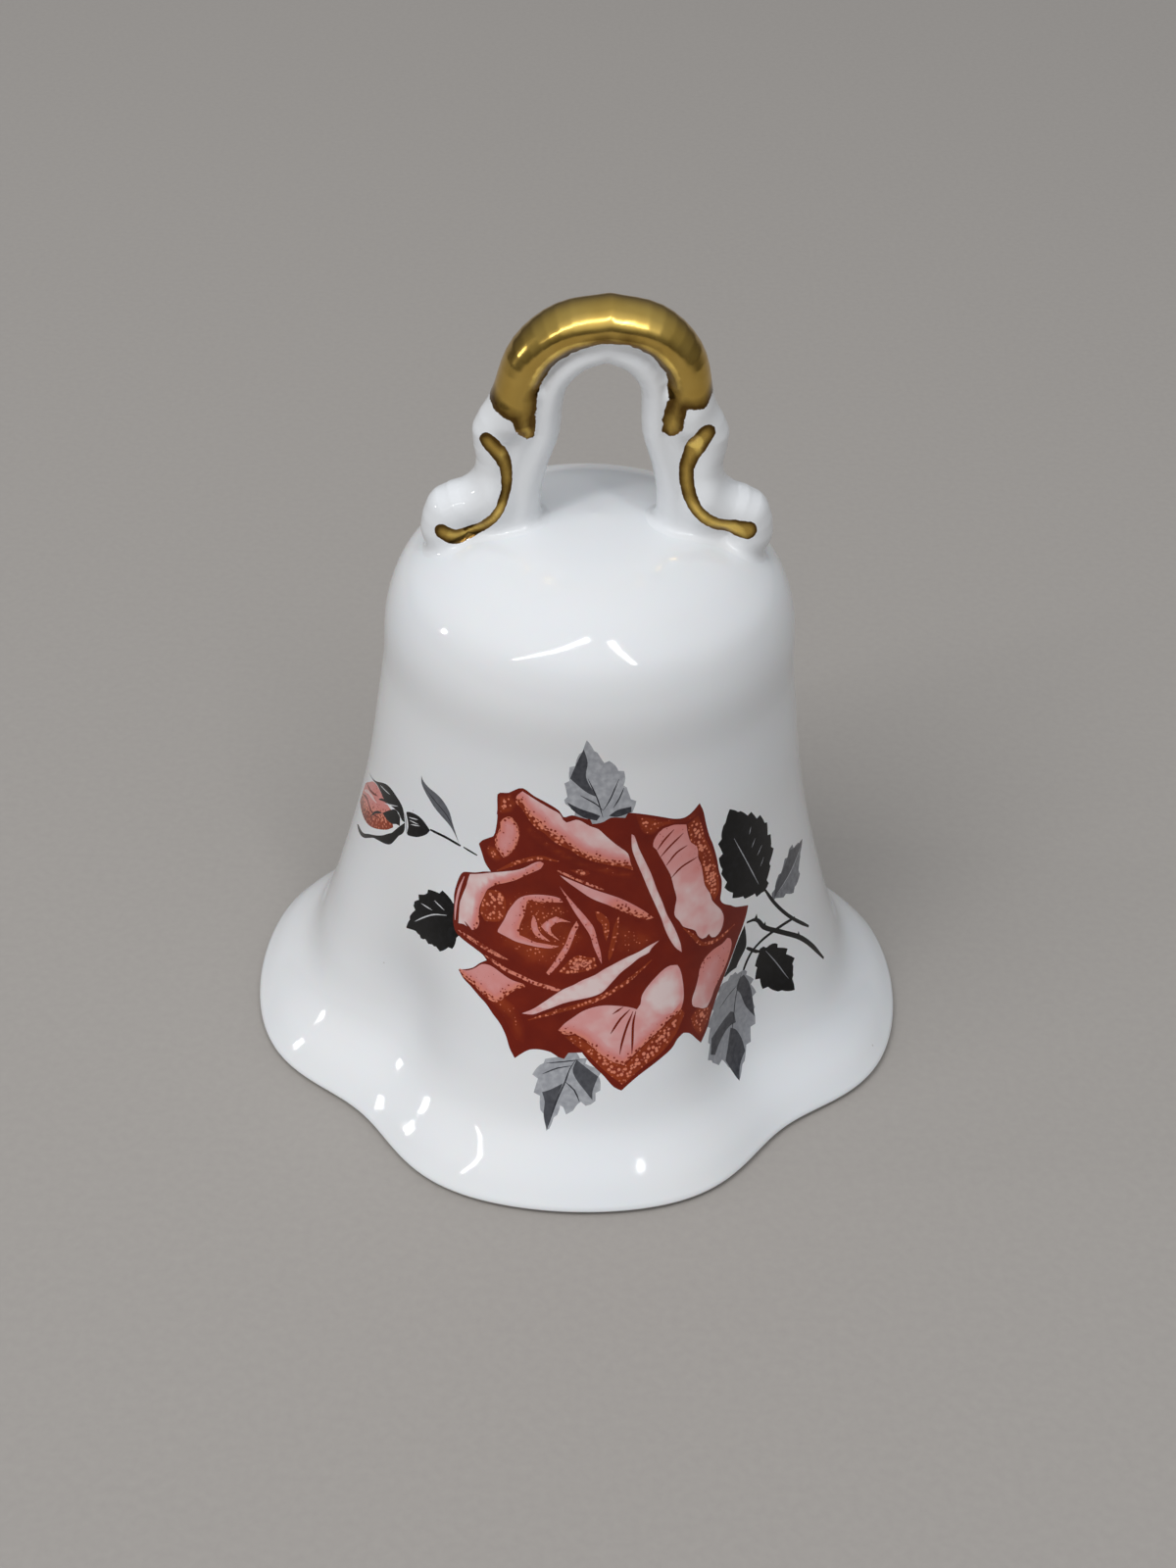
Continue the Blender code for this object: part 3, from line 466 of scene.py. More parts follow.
def bud(art):
    """The half-open bud on its stem, at the left."""
    area, flat, lines = art.area, art.flat, art.lines
    area(ROSE, 0.7, [
        (-38.5, 30.8), (-37.4, 34.2), (-36.5, 35.2), (-35, 36.4), (-33.5, 37.6), (-32, 38.3), (-30.6, 38.5),
        (-29, 38.4), (-26.8, 38.2), (-25.7, 36.4), (-27, 35.2), (-28.8, 34), (-30.5, 33), (-32, 32.3),
        (-34, 31.7), (-36.5, 31.2)], [(-38.5, 30.8), (-34, 31.7), (-30.5, 33), (-25.7, 36.4)], 2.6, 0.25)
    lines(ROSE, 0.05, 0.3, [(-37.6, 32.6), (-34.6, 34.2), (-31.6, 34.4), (-29, 35.4)],
          [(-36.4, 35.2), (-33.4, 36.2), (-30.8, 37.4)])
    lines(ROSE, 0.95, 0.45, [(-37, 33.6), (-34.6, 35.2), (-32.4, 36), (-30.8, 36.4)])
    lines(LEAF, 0, 0.34, [(-19, 40.1), (-16.5, 40.3), (-14.3, 40.15)], ends=0.7)
    lines(LEAF, 0, 0.24, [(-13.9, 40.15), (-12, 39.8)], ends=0.7)
    flat(LEAF, 0, [
        (-23.5, 40), (-22.8, 40.4), (-21.6, 40.75), (-20.6, 40.75), (-19.7, 40.4), (-19, 40), (-19.4, 39.3),
        (-20, 38.7), (-20.9, 38), (-21.9, 37.5), (-22.7, 37.2), (-22.9, 37.4), (-22.8, 38.3), (-23, 39),
        (-23.4, 39.7)])
    flat(LEAF, 0, [
        (-24, 39.7), (-24.6, 40.3), (-26, 40.7), (-27.5, 40.8), (-28.8, 40.5), (-30.2, 39.8), (-31.5, 39),
        (-33, 38.2), (-35, 37.4), (-37, 36.6), (-33, 38), (-31.5, 38.5), (-30, 38.5), (-28.8, 38.3),
        (-27, 38.7), (-25, 38.9), (-24.2, 38.4), (-23.5, 38.5)])
    flat(LEAF, 0, [
        (-23.5, 38.5), (-23.4, 37.5), (-23.7, 36.8), (-24.4, 36), (-25, 35), (-25.8, 33.9), (-27, 33.2),
        (-28.5, 32.6), (-29.8, 32), (-31, 31.1), (-32.3, 30.1), (-33.6, 29.4), (-35, 29), (-36.5, 28.8),
        (-35.6, 29.4), (-34.2, 29.8), (-32.8, 30.4), (-31.4, 31.4), (-30, 32.3), (-28.8, 33.1), (-27.6, 34),
        (-26.6, 34.9), (-25.8, 35.6), (-25.2, 36.4), (-24.5, 37.3)])
    flat(LEAF, 0, [(-28.6, 36.5), (-27.9, 37.2), (-27, 38), (-25.7, 38.9), (-24.6, 38.6), (-24.4, 37.4),
                   (-25.2, 37.2), (-26, 36.7), (-27.3, 36.4)])
    lines(LEAF, 0, 0.3, [(-30.3, 37.3), (-29, 38.1), (-27.5, 38.6)],
          [(-31.9, 33.6), (-31, 34.8), (-29.8, 35.8), (-28.8, 36.3)])
    lines(LEAF, 0.95, 0.13, [(-22.9, 39.6), (-21.2, 40.25)], [(-22.7, 39.3), (-21, 39.7)],
          [(-22.4, 38.9), (-20.8, 39.6)], [(-28.6, 37.9), (-25.4, 39.6)], [(-30.5, 39.2), (-27.5, 39.9)])
    lines(LEAF, 0.7, 0.2, [(-23.9, 39.7), (-23.4, 39), (-23.1, 38), (-22.9, 37.2)])


def rose_print():
    art = Print()
    leaves_behind(art)
    rose(art)
    top_leaf(art)
    bud(art)
    return art.areas


# ---------------------------------------------------------------- body

def profile_rows():
    """The whole section of the body as rows from the crown's centre over the rim to the socket's end, and
    the first and last row that carry the print."""
    outer = smooth(OUTSIDE, 0.3)
    radius, height = outer.T

    def at(level):
        return (float(np.interp(-level, -height, radius)), level)

    crown = resample([*outer[height > PRINT_TOP], at(PRINT_TOP)], 0.8)
    wall = [at(level) for level in np.arange(PRINT_TOP - ROW, PRINT_BOTTOM + ROW / 2, -ROW)]
    flare = resample([at(PRINT_BOTTOM), *outer[height < PRINT_BOTTOM]], 0.5)
    lip = resample(smooth(LIP, 0.2), 0.3)
    inside = resample(smooth(INSIDE, 0.5), 1.3)
    socket = resample(SOCKET, 0.5)
    crown[0][0] = AXIS_HOLE
    rows = np.vstack([crown, wall, flare[1:], lip[1:], inside[1:], socket[1:]])
    return rows, len(crown) - 1, len(crown) + len(wall) - 1, outer


def pressed(radius, height, turn):
    """The radius at this turn round the body, where the valleys between its four lobes are pressed in."""
    above = np.maximum(0, height - FLUTE_TOP) / FLUTE_FADE
    depth = FLUTE_DEPTH * np.exp(-above**2) * np.sin(2 * turn)**FLUTE_POWER
    return np.where(radius > COLLAR_RADIUS + 0.05, radius - depth, radius)


def placed(radius, height, turn):
    """Points on the body. Turn 0 is the front, -Y, and it grows towards +X."""
    real = pressed(radius, height, turn)
    return np.stack([real * np.sin(turn), -real * np.cos(turn), height + 0 * turn], axis=-1)


def wall_normals(turn, height, outer):
    """Normals of the outer wall, from the shape itself and not from its facets."""
    def point(turn, height):
        return placed(np.interp(-height, -outer[:, 1], outer[:, 0]), height, turn)

    aside, rise = 0.008, 0.35  # half the span of each difference, in radians and in mm
    across = point(turn + aside, height) - point(turn - aside, height)
    up = point(turn, height + rise) - point(turn, height - rise)
    return unit(np.cross(across, up))


def printed_window(rows, first, last, areas):
    """Cuts the printed part of the wall along every outline. Returns its points laid flat as (along, height),
    the grid vertex each one is or -1, and its triangles."""
    columns = np.arange(PRINT_LEFT, PRINT_RIGHT + 1)
    turn = 2 * math.pi / COLUMNS
    grid, known = [], []
    for row in range(first, last + 1):
        for column in columns:
            grid.append((column * turn * PRINT_RADIUS, rows[row][1]))
            known.append(row * COLUMNS + column % COLUMNS)
    points, edges = [Vector(p) for p in grid], []
    for _, _, outline, *_ in areas:
        start = len(points)
        points += [Vector((along + PRINT_SHIFT, height)) for along, height in outline]
        count = len(outline)
        edges += [(start + i, start + (i + 1) % count) for i in range(count)]
    found, _, triangles, origins, _, _ = delaunay_2d_cdt(points, edges, [], 0, 1e-5)
    flat = np.array([tuple(p) for p in found])
    vertex = np.full(len(flat), -1)
    for i, origin in enumerate(origins):
        for o in origin:
            if o < len(grid):
                vertex[i] = known[o]
                flat[i] = grid[o]
    triangles = np.array(triangles)
    a, b, c = (flat[triangles[:, k]] for k in range(3))
    turned = np.cross(b - a, c - a)
    triangles[turned < 0] = triangles[turned < 0][:, ::-1]
    return flat, vertex, triangles[np.abs(turned) > 1e-9]


def ink_of(flat, triangles, areas):
    """For each triangle its ink, 0 where it is bare, and the tone at each of its corners."""
    centre = flat[triangles].mean(1) - (PRINT_SHIFT, 0)
    ink = np.zeros(len(triangles), int)
    tones = np.ones((len(triangles), 3))
    for slot, tone, outline, fade, reach, edge in areas:
        low, high = outline.min(0), outline.max(0)
        near = np.flatnonzero(((centre > low) & (centre < high)).all(1))
        hit = near[within(centre[near], outline)]
        if not len(hit):
            continue
        ink[hit] = slot
        corners = flat[triangles[hit]].reshape(-1, 2) - (PRINT_SHIFT, 0)
        away, _ = distance_to(corners, fade)
        tones[hit] = (edge + (tone - edge) * np.clip(away / reach, 0, 1)).reshape(-1, 3)
    return ink, tones


def make_body(materials):
    rows, first, last, outer = profile_rows()
    areas = rose_print()
    turns = np.arange(COLUMNS) * 2 * math.pi / COLUMNS
    grid = placed(rows[:, :1], rows[:, 1:], turns[None, :])
    across = np.roll(grid, -1, axis=1) - np.roll(grid, 1, axis=1)
    down = np.empty_like(grid)
    down[1:-1] = grid[2:] - grid[:-2]
    down[0], down[-1] = grid[1] - grid[0], grid[-1] - grid[-2]
    normals = unit(np.cross(down, across))
    wall = slice(first, last + 1)
    wall_turns, wall_heights = np.broadcast_arrays(turns[None, :], rows[wall, 1:])
    normals[wall] = wall_normals(wall_turns, wall_heights, outer)

    flat, vertex, triangles = printed_window(rows, first, last, areas)
    ink, tones = ink_of(flat, triangles, areas)
    new = vertex < 0
    base = len(rows) * COLUMNS
    vertex[new] = base + np.arange(new.sum())
    turn, height = flat[new, 0] / PRINT_RADIUS, flat[new, 1]
    radius = np.interp(-height, -outer[:, 1], outer[:, 0])
    points = np.vstack([grid.reshape(-1, 3), placed(radius, height, turn)])
    normals = np.vstack([normals.reshape(-1, 3), wall_normals(turn, height, outer)])

    faces = vertex[triangles].tolist()
    window = set((np.arange(PRINT_LEFT, PRINT_RIGHT)) % COLUMNS)
    for row in range(len(rows) - 1):
        for column in range(COLUMNS):
            if first <= row < last and column in window:
                continue
            beside = (column + 1) % COLUMNS
            faces.append((row * COLUMNS + column, (row + 1) * COLUMNS + column,
                          (row + 1) * COLUMNS + beside, row * COLUMNS + beside))
    faces.append(list(range(COLUMNS)))
    faces.append([(len(rows) - 1) * COLUMNS + i for i in range(COLUMNS)][::-1])
    mesh = bpy.data.meshes.new("bell_body_glazed")
    mesh.from_pydata((points * MM).tolist(), [], faces)
    for material in materials:
        mesh.materials.append(material)
    slots = np.zeros(len(faces), np.int32)
    slots[:len(ink)] = ink
    mesh.polygons.foreach_set("material_index", slots)
    tone = mesh.attributes.new("tone", "FLOAT", "CORNER")
    values = np.ones(len(mesh.loops), np.float32)
    values[:tones.size] = tones.ravel()
    tone.data.foreach_set("value", values)
    mesh.shade_smooth()
    mesh.normals_split_custom_set_from_vertices([tuple(n) for n in normals])
    return add_piece("bell_body_glazed", mesh, "bell", "porcelain", "bell_body")


def add_piece(name, mesh, body, slot, *replaced):
    piece = bpy.data.objects.new(name, mesh)
    bpy.context.scene.collection.objects.link(piece)
    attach(piece, body)
    if replaced:
        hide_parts(*replaced)
    return piece


# ---------------------------------------------------------------- handle

# Right half of the handle in its own plane: centrelines as (across, height), radius in the plane at each
# point, half the depth, and the fillet to the strands before. It is symmetric about across = 0.
STRANDS = [
    ([(0, 96.5), (4.9, 95.45), (8.3, 92.4), (9.7, 88.2), (9.9, 85)], [2.6, 2.55, 2.5, 2.45, 2.3], 3.75, 0),
    ([(0, 93.45), (3.1, 92.2), (5.4, 89.5), (6.05, 86.2), (6.25, 83.4), (7.5, 79.8), (8.6, 76), (9.6, 70)],
     [1.6, 1.6, 1.6, 1.65, 1.7, 1.8, 2.1, 2.9], 2.9, 1.2),
    ([(10.4, 86.2), (11.9, 82.8), (11.9, 79.8), (11.9, 77), (11.6, 73)],
     [2.2, 2.6, 2.15, 2.2, 2.6], 3.3, 1.0),
    ([(12.4, 75.2), (14.8, 73.7), (16.8, 72.4), (17.3, 70.4)], [2.2, 2.6, 3.1, 3.1], 3.5, 2.0),
    ([(7.9, 88), (8.6, 83.5), (9.9, 79), (11.5, 73), (13.5, 69.5)], [1.3, 1.8, 1.7, 2.4, 3.2], 2.7, 1.0),
]
ARCH_FOOT = 86.0
SKIRT = 1.8  # the handle's feet run out into the crown over about this radius
SKIRT_SINK = 0.06  # away from the feet, the skirt sinks this far under the crown's surface
SKIRT_ROOT = 1.3  # the handle's mesh ends this deep in the crown
SKIRT_LIMIT = 3.2  # the skirt ends this far from the strands
HANDLE_CROWN = 58  # height from which the crown matters to the handle
HANDLE_BOX = (-25.0, -7.8, 62.0), (25.0, 7.8, 100.0)  # sampled for the handle's surface
HANDLE_CELL = 0.3
LARGEST_PUSH = 0.15  # of the surface's points towards the true surface, in one round
FACING = 0.08  # the thin gold lines lie where the normal turns at least this much to front or back
GILT_ARCH = [
    (-7.9, 83.1), (-7, 83.5), (-7, 84.8), (-7, 88.3), (-6.5, 90), (-5.35, 92.1), (-3, 94), (-0.65, 95.06),
    (2.3, 95.2), (5.2, 93.6), (7, 91.2), (7.6, 88.3), (7, 86), (7.1, 84.2), (8.2, 83.6), (9.3, 84.7),
    (9.7, 87.5), (11.6, 87.6), (12.4, 88.3), (12.9, 88.6), (18, 88.8), (18, 104), (-18, 104), (-18, 87.2),
    (-12.4, 87.3), (-11.6, 86.7), (-10.6, 86.3), (-9.6, 86), (-9.2, 84.6), (-8.9, 84.2),
]
GILT_LINES = [
    ([(-12.2, 83), (-11.2, 81.9), (-10.4, 80.4), (-10.1, 78.8), (-10.2, 77), (-10.8, 75), (-11.8, 73.3),
      (-13.3, 71.9), (-15, 71.1), (-16.3, 71), (-17.3, 71.5)],
     [2.0, 1.8, 1.5, 1.3, 1.2, 1.2, 1.3, 1.4, 1.6, 1.9, 1.9]),
    ([(11.9, 84.4), (11.2, 83.2), (10.5, 81.4), (10.1, 79.4), (10.4, 77.2), (11.2, 75.3), (12.5, 73.9),
      (14.2, 72.8), (16, 72.4), (17.4, 72.1)],
     [2.3, 2.3, 2.0, 1.7, 1.6, 1.6, 1.6, 1.8, 2.2, 2.3]),
]


def soft_min(a, b, reach):
    """The smaller of two distances, rounded where they meet, as a fillet."""
    share = np.clip(0.5 + 0.5 * (b - a) / reach, 0, 1)
    return b + (a - b) * share - reach * share * (1 - share)


def crown_distance(points, crown):
    """Signed distance from the crown's surface, positive above it."""
    flat = np.stack([np.hypot(points[:, 0], points[:, 1]), points[:, 2]], axis=1)
    away, _ = distance_to(flat, crown)
    return np.where(flat[:, 1] > np.interp(flat[:, 0], crown[:, 0], crown[:, 1]), away, -away)


def to_handle(points):
    """The points in the handle's own frame: across it, through it, up."""
    cos, sin = math.cos(HANDLE_YAW), math.sin(HANDLE_YAW)
    x, y, z = points.T
    lean = HANDLE_LEAN * np.maximum(0, z - ARCH_FOOT)
    return np.stack([x * cos + y * sin - HANDLE_CENTRE - lean, y * cos - x * sin, z], axis=1)


def handle_field(points, crown):
    """Signed distance, near enough, from the surface of the handle with its skirt on the crown."""
    across, through, up = to_handle(points).T
    flat = np.stack([np.abs(across), up], axis=1)
    field = None
    for line, radii, depth, fillet in STRANDS:
        line = np.array(line, float)
        fine = smooth(line, 1.2)
        along = distance_to(fine, line)[1]
        widths = np.interp(along, range(len(line)), radii)
        away, place = distance_to(flat, fine)
        radius = np.interp(place, range(len(fine)), widths)
        strand = np.hypot(away, through * radius / depth) - radius
        field = strand if field is None else soft_min(field, strand, fillet)
    crown_away = crown_distance(points, crown)
    joined = soft_min(field, crown_away + SKIRT_SINK, SKIRT)
    return np.maximum(np.maximum(joined, -(crown_away + SKIRT_ROOT)), field - SKIRT_LIMIT)


def surface_net(values, low, cell):
    """Points and quads of the surface where the sampled values pass 0."""
    step = np.eye(3, dtype=int)
    corners = [np.array((i, j, k)) for i in (0, 1) for j in (0, 1) for k in (0, 1)]
    size = np.array(values.shape) - 1
    within_cell = sum(
        (values[c[0]:size[0] + c[0], c[1]:size[1] + c[1], c[2]:size[2] + c[2]] < 0).astype(int)
        for c in corners)
    crossed = (within_cell > 0) & (within_cell < 8)
    number = np.full(crossed.shape, -1)
    number[crossed] = np.arange(crossed.sum())
    cells = np.argwhere(crossed)
    total, count = np.zeros((len(cells), 3)), np.zeros((len(cells), 1))
    for corner in corners:
        for axis in range(3):
            if corner[axis]:
                continue
            a = values[tuple((cells + corner).T)]
            b = values[tuple((cells + corner + step[axis]).T)]
            passes = (a < 0) != (b < 0)
            share = np.where(passes, a / np.where(passes, a - b, 1), 0)
            total += (corner + share[:, None] * step[axis]) * passes[:, None]
            count += passes[:, None]
    points = low + (cells + total / count) * cell
    quads = []
    for axis in range(3):
        u, v = step[(axis + 1) % 3], step[(axis + 2) % 3]
        lower = tuple(slice(0, -1) if d == axis else slice(None) for d in range(3))
        upper = tuple(slice(1, None) if d == axis else slice(None) for d in range(3))
        a, b = values[lower] < 0, values[upper] < 0
        for leaving in (True, False):
            edges = np.argwhere(a & ~b if leaving else b & ~a)
            ring = [edges, edges - u, edges - u - v, edges - v]
            quad = np.stack([number[tuple(c.T)] for c in ring], axis=1)
            quads.append(quad if leaving else quad[:, ::-1])
    return points, np.vstack(quads)


def gradient(field, points, step=0.05):
    slopes = []
    for axis in np.eye(3):
        slopes.append((field(points + step * axis) - field(points - step * axis)) / (2 * step))
    return np.stack(slopes, axis=1)


def gilding(points, normals):
    """How far inside the gilding each point is, in mm, doubled on the thin lines. It is negative outside."""
    across, _, up = to_handle(points).T
    flat = np.stack([across + HANDLE_CENTRE, up], axis=1)
    arch = np.array(GILT_ARCH, float)
    depth = distance_to(flat, np.vstack([arch, arch[:1]]))[0] * np.where(within(flat, arch), 1, -1)
    for line, widths in GILT_LINES:
        fine = smooth(line, 0.4)
        along = distance_to(fine, np.array(line, float))[1]
        away, place = distance_to(flat, fine)
        half = np.interp(place, range(len(fine)), np.interp(along, range(len(line)), widths)) / 2
        facing = np.abs(normals[:, 1]) > FACING
        depth = np.maximum(depth, np.where(facing, 2 * (half - away), -1))
    return depth


def make_handle(material):
    crown = smooth(OUTSIDE, 0.3)
    crown = crown[crown[:, 1] > HANDLE_CROWN]
    low, high = np.array(HANDLE_BOX)
    axes = [np.arange(a, b + HANDLE_CELL, HANDLE_CELL) for a, b in zip(low, high)]
    samples = np.stack(np.meshgrid(*axes, indexing="ij"), axis=-1)

    def field(points):
        return handle_field(points, crown)

    values = field(samples.reshape(-1, 3)).reshape(samples.shape[:3])
    points, quads = surface_net(values, low, HANDLE_CELL)
    for _ in range(2):
        slope = gradient(field, points)
        push = field(points) / np.maximum((slope**2).sum(1), 0.3)
        points -= np.clip(push, -LARGEST_PUSH, LARGEST_PUSH)[:, None] * slope
    normals = unit(gradient(field, points, 0.12))
    mesh = bpy.data.meshes.new("handle_gilded")
    mesh.from_pydata((points * MM).tolist(), [], quads.tolist())
    mesh.materials.append(material)
    gilt = mesh.attributes.new("gilding", "FLOAT", "POINT")
    gilt.data.foreach_set("value", gilding(points, normals).astype(np.float32))
    mesh.shade_smooth()
    mesh.normals_split_custom_set_from_vertices([tuple(n) for n in normals])
    return add_piece("handle_gilded", mesh, "bell", "porcelain_gilded", "handle")


# ---------------------------------------------------------------- materials

def colour(red, green, blue):
    """A linear colour from its usual 0-255 values."""
    def linear(value):
        value /= 255
        return value / 12.92 if value <= 0.04045 else ((value + 0.055) / 1.055)**2.4

    return (linear(red), linear(green), linear(blue), 1)


def new_material(name, **sockets):
    material = bpy.data.materials.new(name)
    material.use_nodes = True
    shader = material.node_tree.nodes["Principled BSDF"]
    for socket, value in sockets.items():
        shader.inputs[socket.replace("_", " ")].default_value = value
    return material, material.node_tree, shader


def node(tree, kind, inputs=None, **settings):
    """Adds a shader node. An input takes a value or another node's output."""
    made = tree.nodes.new("ShaderNode" + kind)
    for key, value in settings.items():
        setattr(made, key, value)
    for key, value in (inputs or {}).items():
        if isinstance(value, bpy.types.NodeSocket):
            tree.links.new(value, made.inputs[key])
        else:
            made.inputs[key].default_value = value
    return made


def place(tree):
    return node(tree, "TexCoord").outputs["Object"]


def noise(tree, scale, detail=3.0, roughness=0.5, **extra):
    return node(tree, "TexNoise", {"Vector": place(tree), "Scale": scale, "Detail": detail,
                                   "Roughness": roughness, **extra}).outputs["Fac"]


def ramp(tree, factor, stops, interpolation="LINEAR"):
    made = node(tree, "ValToRGB", {"Fac": factor})
    made.color_ramp.interpolation = interpolation
    elements = made.color_ramp.elements
    while len(elements) < len(stops):
        elements.new(0.5)
    for element, (position, value) in zip(elements, stops):
        element.position = position
        element.color = value
    return made.outputs["Color"]


def blend(tree, factor, first, second):
    made = node(tree, "Mix", data_type="RGBA")
    for index, value in ((0, factor), (6, first), (7, second)):
        if isinstance(value, bpy.types.NodeSocket):
            tree.links.new(value, made.inputs[index])
        else:
            made.inputs[index].default_value = value
    return made.outputs[2]


def maths(tree, operation, first, second=0.0, clamp=False):
    made = node(tree, "Math", {0: first, 1: second}, operation=operation, use_clamp=clamp)
    return made.outputs[0]


def cells(tree, scale, **extra):
    """Distance from the nearest of many scattered points."""
    return node(tree, "TexVoronoi", {"Vector": place(tree), "Scale": scale, **extra}).outputs["Distance"]


def attribute(tree, name):
    return node(tree, "Attribute", attribute_name=name).outputs["Fac"]


def add_bump(tree, shader, height, distance, strength):
    bump = node(tree, "Bump", {"Height": height, "Distance": distance, "Strength": strength})
    tree.links.new(bump.outputs["Normal"], shader.inputs["Normal"])


def spread(tree, value, low, high, new_low=0.0, new_high=1.0):
    return node(tree, "MapRange", {"Value": value, "From Min": low, "From Max": high, "To Min": new_low,
                                   "To Max": new_high}).outputs["Result"]


GLAZE = dict(Roughness=0.07, IOR=1.5, Specular_IOR_Level=0.5)
INK = dict(Roughness=0.1, IOR=1.5, Specular_IOR_Level=0.28)


def glaze_bump(tree, shader):
    """The glaze's slow waves, a few mm long, and its faint orange peel."""
    waves = maths(tree, "MULTIPLY", noise(tree, 95, 1.0), 0.05)
    peel = maths(tree, "MULTIPLY", noise(tree, 900, 2.0), 0.0016)
    add_bump(tree, shader, maths(tree, "ADD", waves, peel), 0.001, 1.0)


def glaze_colour(tree):
    """Cool white that is a little warmer in places, with rare pinholes."""
    tint = blend(tree, noise(tree, 45, 2.0), colour(240, 240, 240), colour(232, 236, 241))
    speck = spread(tree, cells(tree, 105.0), 0.012, 0.018, 1.0, 0.0)
    return blend(tree, maths(tree, "MULTIPLY", speck, 0.35), tint, colour(150, 140, 128))


def glaze_material():
    material, tree, shader = new_material("porcelain_glaze", **GLAZE, Subsurface_Weight=0.08,
                                          Subsurface_Scale=0.002)
    tree.links.new(glaze_colour(tree), shader.inputs["Base Color"])
    tree.links.new(spread(tree, noise(tree, 60), 0.3, 0.7, 0.05, 0.1), shader.inputs["Roughness"])
    glaze_bump(tree, shader)
    return material


def rose_material():
    """Halftone: dots of the light ink on the dark one, which grow with the tone until they merge."""
    material, tree, shader = new_material("rose_print", **INK)
    tone = attribute(tree, "tone")
    drift = spread(tree, noise(tree, 420, 2.0), 0.25, 0.75, -0.07, 0.07)
    uneven = maths(tree, "ADD", tone, drift)
    dots = cells(tree, 2100.0, Randomness=0.75)
    light_dots = maths(tree, "SUBTRACT", spread(tree, uneven, 0.04, 0.52, -0.06, 0.56), dots)
    dark_dots = maths(tree, "SUBTRACT", dots, spread(tree, uneven, 0.48, 0.86, 0.5, -0.08))
    pale_side = spread(tree, uneven, 0.49, 0.51)
    light = blend(tree, pale_side, *(spread(tree, side, -0.05, 0.05) for side in (light_dots, dark_dots)))
    rust = ramp(tree, uneven, [(0.0, colour(120, 28, 8)), (0.14, colour(134, 38, 12)),
                               (0.32, colour(168, 68, 28)), (0.5, colour(146, 48, 26))])
    dark = blend(tree, maths(tree, "MULTIPLY", noise(tree, 260), 0.8), rust, colour(92, 16, 4))
    ink = ramp(tree, uneven, [(0.0, colour(214, 108, 74)), (0.45, colour(226, 136, 108)),
                              (0.68, colour(216, 134, 128)), (0.85, colour(222, 160, 158)),
                              (1.0, colour(230, 208, 206))])
    tree.links.new(blend(tree, light, dark, ink), shader.inputs["Base Color"])
    glaze_bump(tree, shader)
    return material


def leaf_material():
    """Black to grey ink, which is a little thin in places."""
    material, tree, shader = new_material("leaf_print", **INK)
    tone = attribute(tree, "tone")
    uneven = maths(tree, "ADD", tone, spread(tree, noise(tree, 1500, 2.0), 0.3, 0.7, -0.03, 0.05))
    ink = ramp(tree, uneven, [(0.0, colour(3, 3, 4)), (0.3, colour(52, 52, 58)), (0.6, colour(112, 114, 120)),
                              (0.8, colour(162, 164, 170)), (1.0, colour(226, 227, 230))])
    tree.links.new(ink, shader.inputs["Base Color"])
    glaze_bump(tree, shader)
    return material


def gilded_material():
    """Glaze with bright gold where the gilding attribute says, ragged where the brush ran dry. The gold's
    colour wavers with wear, and it is painted dark brown towards its edges as a painted dark reflection.
    """
    material, tree, shader = new_material("porcelain_gilded", **GLAZE)
    inside = attribute(tree, "gilding")
    ragged = spread(tree, noise(tree, 1100, 4.0, 0.6), 0.25, 0.75, -0.2, 0.18)
    gold = spread(tree, maths(tree, "ADD", inside, ragged), -0.03, 0.05)
    gold_wear_and_painted_reflection = blend(tree, noise(tree, 300, 4.0), colour(230, 196, 108), colour(206, 168, 80))
    # Painted dark reflection: the gold turns dark brown where it lies less than about 1.6 mm inside its edge,
    # thin lines included.
    uneven = maths(tree, "ADD", inside, spread(tree, noise(tree, 380, 3.0), 0.3, 0.7, -0.35, 0.35))
    painted_dark_reflection = spread(tree, uneven, 0.35, 1.6, 0.9, 0.0)
    gold_wear_and_painted_reflection = blend(tree, painted_dark_reflection, gold_wear_and_painted_reflection, colour(84, 56, 24))
    tree.links.new(blend(tree, gold, glaze_colour(tree), gold_wear_and_painted_reflection), shader.inputs["Base Color"])
    tree.links.new(gold, shader.inputs["Metallic"])
    rough = spread(tree, noise(tree, 500, 4.0), 0.3, 0.7, 0.16, 0.26)
    mixed = node(tree, "Mix", {0: gold, 2: GLAZE["Roughness"], 3: rough}, data_type="FLOAT")
    tree.links.new(mixed.outputs[0], shader.inputs["Roughness"])
    glaze_bump(tree, shader)
    return material


def wire_material():
    material, tree, shader = new_material("brass_wire", Metallic=1.0, Roughness=0.3)
    tarnish = ramp(tree, noise(tree, 350, 5.0), [(0.35, colour(196, 156, 84)), (0.7, colour(140, 104, 52))])
    tree.links.new(tarnish, shader.inputs["Base Color"])
    tree.links.new(spread(tree, noise(tree, 700, 4.0), 0.3, 0.7, 0.22, 0.42), shader.inputs["Roughness"])
    drawn = maths(tree, "MULTIPLY", noise(tree, 2200, 2.0), 0.02)
    add_bump(tree, shader, drawn, 0.001, 0.6)
    return material


def cement_material():
    material, tree, shader = new_material("cement", Roughness=0.9)
    grain = ramp(tree, noise(tree, 1800, 6.0, 0.7), [
        (0.3, colour(150, 146, 138)), (0.7, colour(206, 202, 192))])
    tree.links.new(grain, shader.inputs["Base Color"])
    add_bump(tree, shader, noise(tree, 1500, 6.0, 0.7), 0.0002, 0.8)
    return material


